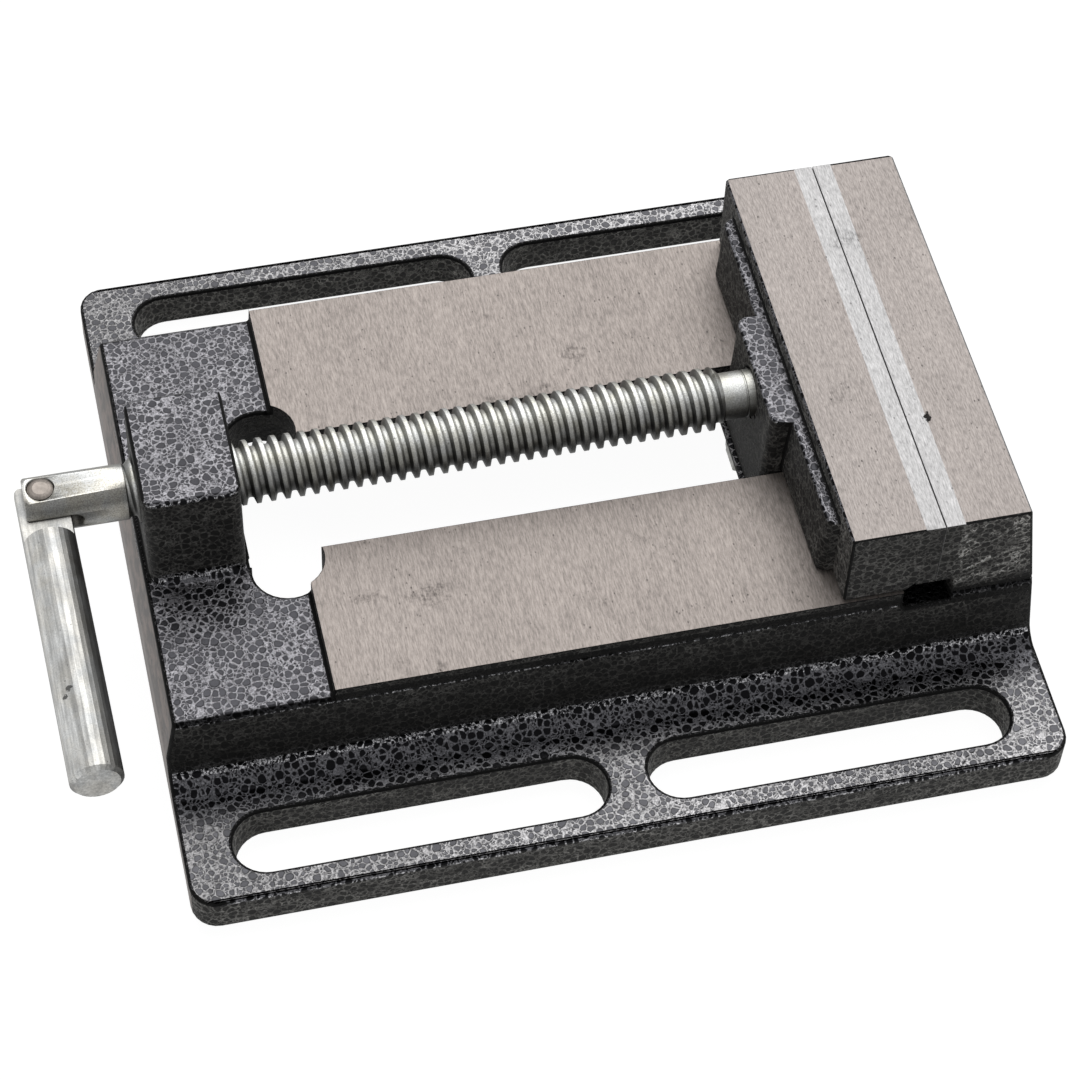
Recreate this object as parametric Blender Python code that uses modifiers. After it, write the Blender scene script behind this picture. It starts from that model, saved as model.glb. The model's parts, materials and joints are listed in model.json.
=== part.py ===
"""Drill press vise: a slotted iron base with its fixed jaw, a moving jaw on a lead screw, and a handle.

Units are metres and +Z is up. The origin is on the underside, in the middle of the whole vise. The screw
runs along X, towards the jaws, and Y runs from the front flange to the back one.
"""

from math import cos, pi, radians, sin, sqrt

import bmesh
import bpy
from mathutils import Matrix, Vector

MM = 0.001

# Clearances
SEAT_GAP = 0.25 * MM  # between pieces that are fastened together
RUNNING_GAP = 0.3 * MM  # between pieces that slide or turn on each other

# Jaws
JAW_WIDTH = 100.0 * MM
JAW_HEIGHT = 50.4 * MM
JAW_SETBACK = 5.0 * MM  # from the base's right end to the fixed jaw's top edge
FIXED_JAW_DEPTH = 14.2 * MM
FIXED_JAW_BACK_DRAFT = 3.4 * MM
MOVING_JAW_DEPTH = 15.3 * MM
PLATE_THICKNESS = 3.7 * MM
PLATE_LIFT = 1.9 * MM  # from the rails up to a plate's lower edge
PLATE_SCREW_INSET = 20.0 * MM  # from a jaw's end
CLOSED_GAP = 0.3 * MM

# Base: bed rails and the slot between them
RAIL_HEIGHT = 30.1 * MM
RAIL_WIDTH = JAW_WIDTH + 1.0 * MM
RAIL_THICKNESS = 12.8 * MM
RAIL_START = 34.6 * MM
CENTRE_SLOT_WIDTH = 30.0 * MM
RELIEF_RADIUS = 7.5 * MM  # round lobes beside the slot's left end
RELIEF_SPACING = 33.6 * MM
RELIEF_INSET = 8.1 * MM
JAW_GROOVE_WIDTH = 10.4 * MM  # across the rails, at the foot of the fixed jaw
JAW_GROOVE_DEPTH = 4.9 * MM
CENTRE_SLOT_END_GAP = 3.5 * MM  # past the moving jaw's guide block

# Base: body between the flanges
BASE_LENGTH = 182.6 * MM
PLATFORM_HEIGHT = 27.35 * MM
PLATFORM_WIDTH = RAIL_WIDTH + 0.3 * MM
BODY_DRAFT = 1.2 * MM  # how far a side wall leans out between the platform and the foot
FOOT_FILLET = 5.2 * MM
LEFT_DRAFT = 2.0 * MM
LEFT_GROUND_HEIGHT = 17.0 * MM  # the left end is ground flat up to here
RIGHT_DRAFT = 1.6 * MM
WALL_THICKNESS = 8.5 * MM
CAVITY_CORNER_RADIUS = 7.0 * MM
CAST_EDGE_RADIUS = 1.3 * MM

# Base: flanges with two slots each
FLANGE_REACH = 31.0 * MM  # past each side of the platform
FLANGE_THICKNESS = 8.9 * MM
FLANGE_CORNER_RADIUS = 5.5 * MM
BASE_WIDTH = PLATFORM_WIDTH + 2 * FLANGE_REACH
FLANGE_SLOT_WIDTH = 14.0 * MM
FLANGE_SLOT_EDGE = 5.55 * MM  # from a slot's side to the flange's
FLANGE_SLOT_MARGIN = 10.5 * MM  # from a slot's end to the base's
FLANGE_SLOT_BRIDGE = 9.6 * MM
FLANGE_SLOT_DRAFT = 0.5 * MM  # how much farther each end reaches at the top than at the underside
BACK_LEFT_SLOT_SHIFT = 1.2 * MM  # this slot is cast a little off its place

# Base: screw boss
BOSS_START = 3.1 * MM
BOSS_LENGTH = 20.0 * MM
BOSS_WIDTH = 27.8 * MM
BOSS_HEIGHT = JAW_HEIGHT + 0.7 * MM
BOSS_DRAFT = 1.6 * MM
BOSS_CORNER_RADIUS = 2.6 * MM
BOSS_FOOT_FILLET = 2.2 * MM
BOSS_RIB_THICKNESS = 12.0 * MM
BOSS_RIB_DEPTH = 9.0 * MM

# Moving jaw: web, boss and guide block
WEB_WIDTH = JAW_WIDTH - 16.0 * MM
WEB_TOP_DEPTH = 2.5 * MM
WEB_DRAFT = 0.9 * MM
WEB_DROP = 3.9 * MM  # from the jaw's top down to the web's
WEB_CORNER_RADIUS = 2.2 * MM
JOURNAL_BOSS_DEPTH = 6.75 * MM
JOURNAL_BOSS_DRAFT = 1.25 * MM
GUIDE_GAP = 0.4 * MM  # each side, in the slot
GUIDE_END_SETBACK = 3.2 * MM  # from the jaw's face for the plate
LOWER_CHAMFER = 1.8 * MM

# Keeper under the rails
KEEPER_THICKNESS = 5.0 * MM
KEEPER_WIDTH = 44.0 * MM
KEEPER_LEAD = 0.8 * MM  # past the jaw's boss
KEEPER_EDGE = 1.2 * MM  # upright part of its edges, above their chamfers
KEEPER_BOLT_SPACING = 16.0 * MM
KEEPER_BOLT_INSET = 6.25 * MM

# Lead screw
SCREW_AXIS_HEIGHT = JAW_HEIGHT - 11.2 * MM
THREAD_DIAMETER = 13.4 * MM
THREAD_PITCH = 3.0 * MM
THREAD_DEPTH = 1.5 * MM
THREAD_CREST = 1.0 * MM  # flat width of a ridge's top
THREAD_FLANK = 0.55 * MM  # length along the screw over which a ridge's side falls
THREAD_LEAD_IN = 2.0 * MM  # thread that shows to the left of the screw boss
THREAD_PHASE = 2.35 * MM  # from the thread's left end to where its first ridge starts
JOURNAL_DIAMETER = 10.1 * MM
JOURNAL_EXPOSED = 5.7 * MM  # from the thread to the foot of the jaw's boss
JOURNAL_WALL = 2.7 * MM  # iron left behind the journal's blind bore
HEAD_DIAMETER = 11.6 * MM
HEAD_LENGTH = 20.7 * MM
GROOVE_DIAMETER = 7.4 * MM
GROOVE_FROM_TIP = 5.2 * MM
PIN_DIAMETER = 4.0 * MM
PIN_TOP_ABOVE_AXIS = 4.0 * MM

# Fork, rivet and handle
FORK_SLOT_HEIGHT = 4.0 * MM
FORK_SLOT_DEPTH = 11.7 * MM
RIVET_INSET = 3.6 * MM
RIVET_DIAMETER = 5.4 * MM
HANDLE_DIAMETER = 10.7 * MM
HANDLE_LENGTH = 68.4 * MM  # from the rivet to the tip
HANDLE_SHOULDER = 10.0 * MM
TONGUE_BACK = 3.6 * MM
TONGUE_CORNER = 0.9 * MM
HANDLE_TIP_CHAMFER = 0.8 * MM
HANDLE_SWING = radians(1.2)  # past square, towards the base

# Fasteners
PLATE_SCREW_DIAMETER = 5.0 * MM
PLATE_SCREW_HEAD = 9.2 * MM
PLATE_SCREW_LENGTH = 12.0 * MM
PLATE_SCREW_SOCKET = 3.0 * MM
PLATE_SCREW_SINK = 0.2 * MM
KEEPER_BOLT_DIAMETER = 6.0 * MM
KEEPER_BOLT_ENGAGEMENT = 11.5 * MM
KEEPER_BOLT_ACROSS_FLATS = 10.0 * MM
KEEPER_BOLT_HEAD_HEIGHT = 4.0 * MM
WASHER_DIAMETER = 12.0 * MM
WASHER_THICKNESS = 1.6 * MM

ROUND_STEPS = 32
THREAD_STEPS = 20
SMALL_STEPS = 20
OVERSHOOT = 2.0 * MM  # how far a cutter runs past the face that it opens

# Places that follow from the sizes, in the base's frame: x from its left end, z from its underside
FIXED_JAW_FACE = BASE_LENGTH - JAW_SETBACK - FIXED_JAW_DEPTH
FIXED_PLATE_FACE = FIXED_JAW_FACE - SEAT_GAP - PLATE_THICKNESS
MOVING_PLATE_FACE = FIXED_PLATE_FACE - CLOSED_GAP
MOVING_JAW_FACE = MOVING_PLATE_FACE - PLATE_THICKNESS - SEAT_GAP
MOVING_JAW_BACK = MOVING_JAW_FACE - MOVING_JAW_DEPTH
JOURNAL_BOSS_FACE = MOVING_JAW_BACK - JOURNAL_BOSS_DEPTH - JOURNAL_BOSS_DRAFT
GUIDE_END = MOVING_JAW_FACE - GUIDE_END_SETBACK
CENTRE_SLOT_END = GUIDE_END + CENTRE_SLOT_END_GAP
FLANGE_SLOT_LENGTH = (BASE_LENGTH - FLANGE_SLOT_BRIDGE) / 2 - FLANGE_SLOT_MARGIN
FLANGE_SLOT_Y = (BASE_WIDTH - FLANGE_SLOT_WIDTH) / 2 - FLANGE_SLOT_EDGE
BOSS_END = BOSS_START + BOSS_LENGTH
RAIL_BOTTOM = RAIL_HEIGHT - RAIL_THICKNESS
GUIDE_WIDTH = CENTRE_SLOT_WIDTH - 2 * GUIDE_GAP
WEB_TOP = JAW_HEIGHT - WEB_DROP
SCREW_TIP = MOVING_JAW_FACE - JOURNAL_WALL - RUNNING_GAP
THREAD_END = JOURNAL_BOSS_FACE - JOURNAL_EXPOSED
THREAD_START = BOSS_START - THREAD_LEAD_IN
FORK_END = THREAD_START - HEAD_LENGTH
RIVET_X = FORK_END + RIVET_INSET
HANDLE_RADIUS = HANDLE_DIAMETER / 2
TONGUE_REACH = TONGUE_BACK - TONGUE_CORNER
HANDLE_LEFT = RIVET_X - HANDLE_RADIUS * cos(HANDLE_SWING) - TONGUE_REACH * sin(HANDLE_SWING)
CENTRE_X = (HANDLE_LEFT + BASE_LENGTH) / 2
GROOVE_X = SCREW_TIP - GROOVE_FROM_TIP
KEEPER_BOLT_X = JOURNAL_BOSS_FACE + KEEPER_BOLT_INSET
KEEPER_BOTTOM = RAIL_BOTTOM - SEAT_GAP - KEEPER_THICKNESS
PIN_OFFSET = GROOVE_DIAMETER / 2 + PIN_DIAMETER / 2 + SEAT_GAP
PLATE_HEIGHT = JAW_HEIGHT - RAIL_HEIGHT - PLATE_LIFT
PLATE_SCREW_SPACING = JAW_WIDTH - 2 * PLATE_SCREW_INSET
PLATE_SCREW_HEIGHT = JAW_HEIGHT - PLATE_HEIGHT / 2
PLATE_SCREW_HOLE_DEPTH = PLATE_SCREW_SINK + PLATE_SCREW_LENGTH - PLATE_THICKNESS


def clear_scene():
    for old in list(bpy.data.objects):
        bpy.data.objects.remove(old)


def new_collection(name):
    made = bpy.data.collections.new(name)
    bpy.context.scene.collection.children.link(made)
    return made


def material(name, colour, roughness, metallic):
    made = bpy.data.materials.new(name)
    made.use_nodes = True
    shader = made.node_tree.nodes["Principled BSDF"]
    shader.inputs["Base Color"].default_value = (*colour, 1.0)
    shader.inputs["Roughness"].default_value = roughness
    shader.inputs["Metallic"].default_value = metallic
    return made


clear_scene()
VISE = new_collection("drill_press_vise")
CUTTERS = new_collection("cutters")

PAINTED_IRON = material("hammered_paint_iron", (0.23, 0.23, 0.24), 0.45, 0.3)
GROUND_STEEL = material("ground_steel", (0.62, 0.60, 0.58), 0.35, 0.9)
ZINC_STEEL = material("zinc_steel", (0.60, 0.61, 0.57), 0.28, 1.0)
DARK_STEEL = material("dark_steel", (0.20, 0.20, 0.21), 0.40, 0.9)


def empty(name, place, parent=None):
    """An empty that carries the pieces of one moving body, with its origin on the joint."""
    made = bpy.data.objects.new(name, None)
    made.empty_display_size = 10 * MM
    made.location = place
    made.parent = parent
    VISE.objects.link(made)
    return made


def add_object(name, mesh, parent, finish=None, place=(0, 0, 0), turn=(0, 0, 0)):
    """A visible piece where a finish is given, or else a cutter or a shape to be joined."""
    made = bpy.data.objects.new(name, mesh)
    made.parent = parent
    made.location = place
    made.rotation_euler = turn
    if finish:
        mesh.materials.append(finish)
        VISE.objects.link(made)
    else:
        made.hide_render = True
        made.display_type = "WIRE"
        CUTTERS.objects.link(made)
    return made


def mesh_from(bm, name, sharp_angle=None):
    bmesh.ops.recalc_face_normals(bm, faces=bm.faces)
    mesh = bpy.data.meshes.new(name)
    bm.to_mesh(mesh)
    bm.free()
    if sharp_angle:
        mesh.shade_smooth()
        mesh.set_sharp_from_angle(angle=sharp_angle)
    return mesh


def box(name, low, high):
    """A box between two corners."""
    bm = bmesh.new()
    bmesh.ops.create_cube(bm, size=1)
    size = Vector(high) - Vector(low)
    middle = (Vector(high) + Vector(low)) / 2
    move = Matrix.Translation(middle) @ Matrix.Diagonal((*size, 1))
    bmesh.ops.transform(bm, matrix=move, verts=bm.verts)
    return mesh_from(bm, name)


def cylinder(name, radius, low, high, place=(0, 0), axis="Z", steps=ROUND_STEPS):
    """A cylinder along Z or X. Its place is (x, y) or (y, z)."""
    bm = bmesh.new()
    bmesh.ops.create_cone(
        bm, cap_ends=True, segments=steps, radius1=radius, radius2=radius, depth=high - low
    )
    if axis == "Z":
        move = Matrix.Translation((*place, (low + high) / 2))
    else:
        move = Matrix.Translation(((low + high) / 2, *place)) @ Matrix.Rotation(pi / 2, 4, "Y")
    bmesh.ops.transform(bm, matrix=move, verts=bm.verts)
    return mesh_from(bm, name, radians(40))


def arc(centre, radius, start, end, steps):
    """Points on an arc, with its angles in degrees."""
    turns = [radians(start + (end - start) * i / steps) for i in range(steps + 1)]
    return [(centre[0] + radius * cos(a), centre[1] + radius * sin(a)) for a in turns]


def rounded_rectangle(x0, x1, y0, y1, radius, steps=4):
    """The outline of a rectangle with round corners, anticlockwise."""
    corners = [(x1 - radius, y0 + radius), (x1 - radius, y1 - radius), (x0 + radius, y1 - radius),
               (x0 + radius, y0 + radius)]
    points = []
    for centre, start in zip(corners, (-90, 0, 90, 180)):
        points += arc(centre, radius, start, start + 90, steps)
    return points


def prism(name, outline, low, high, axis="Z"):
    """A flat outline given a thickness. Its points are (x, y), (x, z) or (y, z) for axis Z, Y or X."""
    curve = bpy.data.curves.new(name, "CURVE")
    curve.dimensions = "2D"
    curve.fill_mode = "BOTH"
    curve.extrude = (high - low) / 2
    spline = curve.splines.new("POLY")
    spline.points.add(len(outline) - 1)
    for point, (u, v) in zip(spline.points, outline):
        point.co = (u, v, 0, 1)
    spline.use_cyclic_u = True
    guide = bpy.data.objects.new(name, curve)
    CUTTERS.objects.link(guide)
    graph = bpy.context.evaluated_depsgraph_get()
    flat = bpy.data.meshes.new_from_object(guide.evaluated_get(graph))
    bpy.data.objects.remove(guide)
    bpy.data.curves.remove(curve)
    bm = bmesh.new()
    bm.from_mesh(flat)
    bpy.data.meshes.remove(flat)
    bmesh.ops.remove_doubles(bm, verts=bm.verts, dist=0.001 * MM)
    middle = (low + high) / 2
    axes = {
        "Z": Matrix.Translation((0, 0, middle)),
        "Y": Matrix(((1, 0, 0, 0), (0, 0, 1, middle), (0, 1, 0, 0), (0, 0, 0, 1))),
        "X": Matrix(((0, 0, 1, middle), (1, 0, 0, 0), (0, 1, 0, 0), (0, 0, 0, 1))),
    }
    bmesh.ops.transform(bm, matrix=axes[axis], verts=bm.verts)
    return mesh_from(bm, name)


def loft(name, rings):
    """A closed solid through rings of points that all have the same count."""
    bm = bmesh.new()
    loops = []
    for ring in rings:
        verts = [bm.verts.new(point) for point in ring]
        loops.append([bm.edges.new((verts[i - 1], verts[i])) for i in range(len(verts))])
        if ring is rings[0] or ring is rings[-1]:
            bm.faces.new(verts)
    for lower, upper in zip(loops, loops[1:]):
        bmesh.ops.bridge_loops(bm, edges=lower + upper)
    return mesh_from(bm, name)


def raised_block(name, x0, x1, half_width, bottom, top, draft, corner, fillet):
    """A cast block on a floor: its walls lean in towards the top, and run into the floor in a fillet."""
    def ring(z, grow):
        spread = draft * (top - z) / (top - bottom) + grow
        radius = corner + grow
        outline = rounded_rectangle(x0, x1, -half_width - spread, half_width + spread, radius)
        return [(x, y, z) for x, y in outline]

    lip = 0.8 * MM
    rings = [ring(bottom - OVERSHOOT, fillet)]
    for step in range(4):
        lean = radians(90 * step / 4)
        rings.append(ring(bottom + fillet * (1 - cos(lean)), fillet * (1 - sin(lean))))
    rings.append(ring(bottom + fillet, 0))
    rings.append(ring(top - lip, 0))
    rings.append(ring(top - 0.3 * lip, -0.3 * lip))
    rings.append(ring(top, -lip))
    return loft(name, rings)


def turned(name, profile, parent, finish=None, place=(0, 0, 0), turn=(0, 0, 0), steps=ROUND_STEPS):
    """A round piece: its (radius, z) points run from top to bottom, and turn about its own Z axis."""
    mesh = bpy.data.meshes.new(name)
    edges = [(i, i + 1) for i in range(len(profile) - 1)]
    mesh.from_pydata([(radius, 0, z) for radius, z in profile], edges, [])
    made = add_object(name, mesh, parent, finish, place, turn)
    screw = made.modifiers.new("turn", "SCREW")
    screw.axis = "Z"
    screw.steps = steps
    screw.render_steps = steps
    screw.use_merge_vertices = True
    screw.merge_threshold = 0.001 * MM
    screw.use_smooth_shade = True
    return made


def boolean(target, other, operation):
    step = target.modifiers.new(other.name, "BOOLEAN")
    step.operation = operation
    step.solver = "EXACT"
    step.object = other


def join(target, name, mesh, parent):
    boolean(target, add_object(name, mesh, parent), "UNION")


def cut(target, name, mesh, parent):
    boolean(target, add_object(name, mesh, parent), "DIFFERENCE")


def side_name(side):
    return "back" if side > 0 else "front"


def base_section():
    """The section across the base: flanges, drafted walls and platform, with fillets at the feet."""
    foot_y = PLATFORM_WIDTH / 2 + BODY_DRAFT
    flange_y = BASE_WIDTH / 2
    lip = 0.8 * MM
    fillet_centre = (foot_y + FOOT_FILLET, FLANGE_THICKNESS + FOOT_FILLET)
    half = [(flange_y, 0), (flange_y, FLANGE_THICKNESS - lip)]
    half += arc((flange_y - lip, FLANGE_THICKNESS - lip), lip, 30, 90, 2)
    half += arc(fillet_centre, FOOT_FILLET, 270, 180, 5)
    top_centre = (PLATFORM_WIDTH / 2 - CAST_EDGE_RADIUS, PLATFORM_HEIGHT - CAST_EDGE_RADIUS)
    half += arc(top_centre, CAST_EDGE_RADIUS, 0, 90, 3)
    return half + [(-y, z) for y, z in reversed(half)]


def lean_ends(mesh):
    """Leans the ends in towards the top: the left above its ground face, the right above the flange."""
    left_rise = PLATFORM_HEIGHT - LEFT_GROUND_HEIGHT
    right_rise = PLATFORM_HEIGHT - FLANGE_THICKNESS
    bm = bmesh.new()
    bm.from_mesh(mesh)
    everything = bm.verts[:] + bm.edges[:] + bm.faces[:]
    bmesh.ops.bisect_plane(bm, geom=everything, plane_co=(0, 0, LEFT_GROUND_HEIGHT), plane_no=(0, 0, 1))
    for vert in bm.verts:
        if vert.co.x < BASE_LENGTH / 2:
            vert.co.x += LEFT_DRAFT * max(0, vert.co.z - LEFT_GROUND_HEIGHT) / left_rise
        else:
            vert.co.x -= RIGHT_DRAFT * max(0, vert.co.z - FLANGE_THICKNESS) / right_rise
    bm.to_mesh(mesh)
    bm.free()
    return mesh


def fixed_jaw_block():
    """The fixed jaw's side outline: upright at the plate, and leaning in at the back."""
    lip = 0.8 * MM
    back_top = BASE_LENGTH - JAW_SETBACK
    back_foot = back_top + FIXED_JAW_BACK_DRAFT
    foot = RAIL_HEIGHT - JAW_GROOVE_DEPTH - OVERSHOOT
    outline = [
        (FIXED_JAW_FACE, foot),
        (back_foot - lip, foot),
        (back_foot, PLATFORM_HEIGHT + lip),
        (back_top, JAW_HEIGHT - lip / 2),
        (back_top - lip / 2, JAW_HEIGHT),
        (FIXED_JAW_FACE, JAW_HEIGHT),
    ]
    return prism("fixed_jaw_shape", outline, -JAW_WIDTH / 2, JAW_WIDTH / 2, "Y")


def flange_slot(side, end):
    middle = BASE_LENGTH / 2 + end * (FLANGE_SLOT_LENGTH + FLANGE_SLOT_BRIDGE) / 2
    if side > 0 and end < 0:
        middle += BACK_LEFT_SLOT_SHIFT
    y = side * FLANGE_SLOT_Y
    radius = FLANGE_SLOT_WIDTH / 2
    corner = 0.999 * radius
    rings = []
    for z in (-OVERSHOOT, FLANGE_THICKNESS + OVERSHOOT):
        half = FLANGE_SLOT_LENGTH / 2 + FLANGE_SLOT_DRAFT * z / FLANGE_THICKNESS
        outline = rounded_rectangle(middle - half, middle + half, y - radius, y + radius, corner, 8)
        rings.append([(x, y, z) for x, y in outline])
    return loft("flange_slot", rings)


def plate_screw_hole(x_face, inward, y):
    """The plain hole for a plate screw, from a jaw's face into its iron."""
    ends = sorted((x_face - inward * OVERSHOOT, x_face + inward * PLATE_SCREW_HOLE_DEPTH))
    radius = PLATE_SCREW_DIAMETER / 2 + SEAT_GAP
    return cylinder("plate_screw_hole", radius, *ends, (y, PLATE_SCREW_HEIGHT), "X", SMALL_STEPS)


def build_base(frame):
    section = prism("base_section", base_section(), 0, BASE_LENGTH, "X")
    base = add_object("base_casting", lean_ends(section), frame, PAINTED_IRON)

    outline = rounded_rectangle(0, BASE_LENGTH, -BASE_WIDTH / 2, BASE_WIDTH / 2, FLANGE_CORNER_RADIUS, 6)
    footprint = prism("footprint", outline, -OVERSHOOT, JAW_HEIGHT + OVERSHOOT)
    boolean(base, add_object("footprint", footprint, frame), "INTERSECT")

    rail_end = FIXED_JAW_FACE - JAW_GROOVE_WIDTH
    rails = box(
        "rails", (RAIL_START, -RAIL_WIDTH / 2, RAIL_BOTTOM), (rail_end, RAIL_WIDTH / 2, RAIL_HEIGHT)
    )
    join(base, "rail_shape", rails, frame)
    join(base, "fixed_jaw_shape", fixed_jaw_block(), frame)
    boss = raised_block(
        "screw_boss", BOSS_START, BOSS_END, BOSS_WIDTH / 2, PLATFORM_HEIGHT, BOSS_HEIGHT,
        BOSS_DRAFT, BOSS_CORNER_RADIUS, BOSS_FOOT_FILLET
    )
    join(base, "screw_boss_shape", boss, frame)

    groove = box(
        "jaw_groove",
        (rail_end, -BASE_WIDTH / 2, RAIL_HEIGHT - JAW_GROOVE_DEPTH),
        (FIXED_JAW_FACE, BASE_WIDTH / 2, RAIL_HEIGHT + OVERSHOOT),
    )
    cut(base, "jaw_groove_cutter", groove, frame)

    half_cavity = PLATFORM_WIDTH / 2 - WALL_THICKNESS
    cavity = rounded_rectangle(
        WALL_THICKNESS, BASE_LENGTH - WALL_THICKNESS, -half_cavity, half_cavity, CAVITY_CORNER_RADIUS
    )
    cut(base, "cavity_cutter", prism("cavity", cavity, -OVERSHOOT, RAIL_BOTTOM), frame)
    rib = box(
        "boss_rib",
        (WALL_THICKNESS - OVERSHOOT, -BOSS_RIB_THICKNESS / 2, RAIL_BOTTOM - BOSS_RIB_DEPTH),
        (BOSS_END + 0.5 * MM, BOSS_RIB_THICKNESS / 2, RAIL_BOTTOM + OVERSHOOT),
    )
    join(base, "boss_rib_shape", rib, frame)

    half_slot = CENTRE_SLOT_WIDTH / 2
    slot = box(
        "centre_slot",
        (BOSS_END + 0.5 * MM, -half_slot, -OVERSHOOT),
        (CENTRE_SLOT_END, half_slot, RAIL_HEIGHT + OVERSHOOT),
    )
    cut(base, "centre_slot_cutter", slot, frame)
    for side in (-1, 1):
        place = (BOSS_END + RELIEF_INSET, side * RELIEF_SPACING / 2)
        lobe = cylinder("relief_lobe", RELIEF_RADIUS, -OVERSHOOT, RAIL_HEIGHT + OVERSHOOT, place)
        cut(base, "relief_cutter_" + side_name(side), lobe, frame)
        for end in (-1, 1):
            name = "flange_slot_" + side_name(side) + ("_left" if end < 0 else "_right")
            cut(base, name, flange_slot(side, end), frame)
        hole = plate_screw_hole(FIXED_JAW_FACE, 1, side * PLATE_SCREW_SPACING / 2)
        cut(base, "fixed_plate_screw_hole_" + side_name(side), hole, frame)

    bore_ends = (BOSS_START - 2 * OVERSHOOT, BOSS_END + 2 * OVERSHOOT)
    bore_radius = THREAD_DIAMETER / 2 + RUNNING_GAP
    bore = cylinder("screw_bore", bore_radius, *bore_ends, (0, SCREW_AXIS_HEIGHT), "X")
    cut(base, "screw_bore_cutter", bore, frame)
    return base


def jaw_plate(name, frame, working_face, inward):
    """A jaw plate with its working face at working_face. Its iron lies towards inward, +1 or -1."""
    ends = sorted((working_face, working_face + inward * PLATE_THICKNESS))
    low = (ends[0], -JAW_WIDTH / 2, JAW_HEIGHT - PLATE_HEIGHT)
    high = (ends[1], JAW_WIDTH / 2, JAW_HEIGHT)
    plate = add_object(name, box(name, low, high), frame, GROUND_STEEL)
    radius = PLATE_SCREW_DIAMETER / 2 + SEAT_GAP
    sink = PLATE_SCREW_HEAD / 2 + SEAT_GAP
    through = -2 * PLATE_THICKNESS
    profile = [
        (0, OVERSHOOT), (sink + OVERSHOOT, OVERSHOOT), (radius, radius - sink),
        (radius, through), (0, through),
    ]
    for side in (-1, 1):
        place = (working_face, side * PLATE_SCREW_SPACING / 2, PLATE_SCREW_HEIGHT)
        turn = (0, -inward * pi / 2, 0)
        hole = turned(name + "_hole_" + side_name(side), profile, frame, None, place, turn, SMALL_STEPS)
        boolean(plate, hole, "DIFFERENCE")
    return plate


def plate_screw(name, frame, working_face, inward, side):
    """A countersunk screw with a hexagon socket, its head just below the plate's working face."""
    head = PLATE_SCREW_HEAD / 2
    shank = PLATE_SCREW_DIAMETER / 2
    tip = 0.6 * MM
    profile = [
        (0, 0), (head - 0.2 * MM, 0), (head - 0.2 * MM, -0.2 * MM), (shank, -(head - shank)),
        (shank, -PLATE_SCREW_LENGTH + tip), (shank - tip, -PLATE_SCREW_LENGTH), (0, -PLATE_SCREW_LENGTH),
    ]
    place = (working_face + inward * PLATE_SCREW_SINK, side * PLATE_SCREW_SPACING / 2, PLATE_SCREW_HEIGHT)
    turn = (0, -inward * pi / 2, 0)
    screw = turned(name, profile, frame, DARK_STEEL, place, turn, SMALL_STEPS)
    socket = cylinder("socket", PLATE_SCREW_SOCKET / sqrt(3), -2.0 * MM, OVERSHOOT, steps=6)
    boolean(screw, add_object(name + "_socket", socket, frame, None, place, turn), "DIFFERENCE")
    return screw


def moving_jaw_block():
    """The jaw block's side outline, with a chamfer at its lower front edge."""
    lip = 0.4 * MM
    foot = RAIL_HEIGHT + RUNNING_GAP
    outline = [
        (MOVING_JAW_BACK, foot),
        (MOVING_JAW_FACE - LOWER_CHAMFER, foot),
        (MOVING_JAW_FACE, foot + LOWER_CHAMFER),
        (MOVING_JAW_FACE, JAW_HEIGHT),
        (MOVING_JAW_BACK + lip, JAW_HEIGHT),
        (MOVING_JAW_BACK, JAW_HEIGHT - lip),
    ]
    return prism("moving_jaw_block", outline, -JAW_WIDTH / 2, JAW_WIDTH / 2, "Y")


def drafted_rib(name, depth, draft, half_width, foot, radius):
    """A rib on the back of the moving jaw, deeper at its foot than at its top."""
    inside = MOVING_JAW_BACK + 2 * radius
    lip = 0.4 * MM
    rings = []
    for z, reach in ((foot, depth + draft), (WEB_TOP - lip, depth), (WEB_TOP, depth - lip)):
        outline = rounded_rectangle(MOVING_JAW_BACK - reach, inside, -half_width, half_width, radius)
        rings.append([(x, y, z) for x, y in outline])
    return loft(name, rings)


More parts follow.
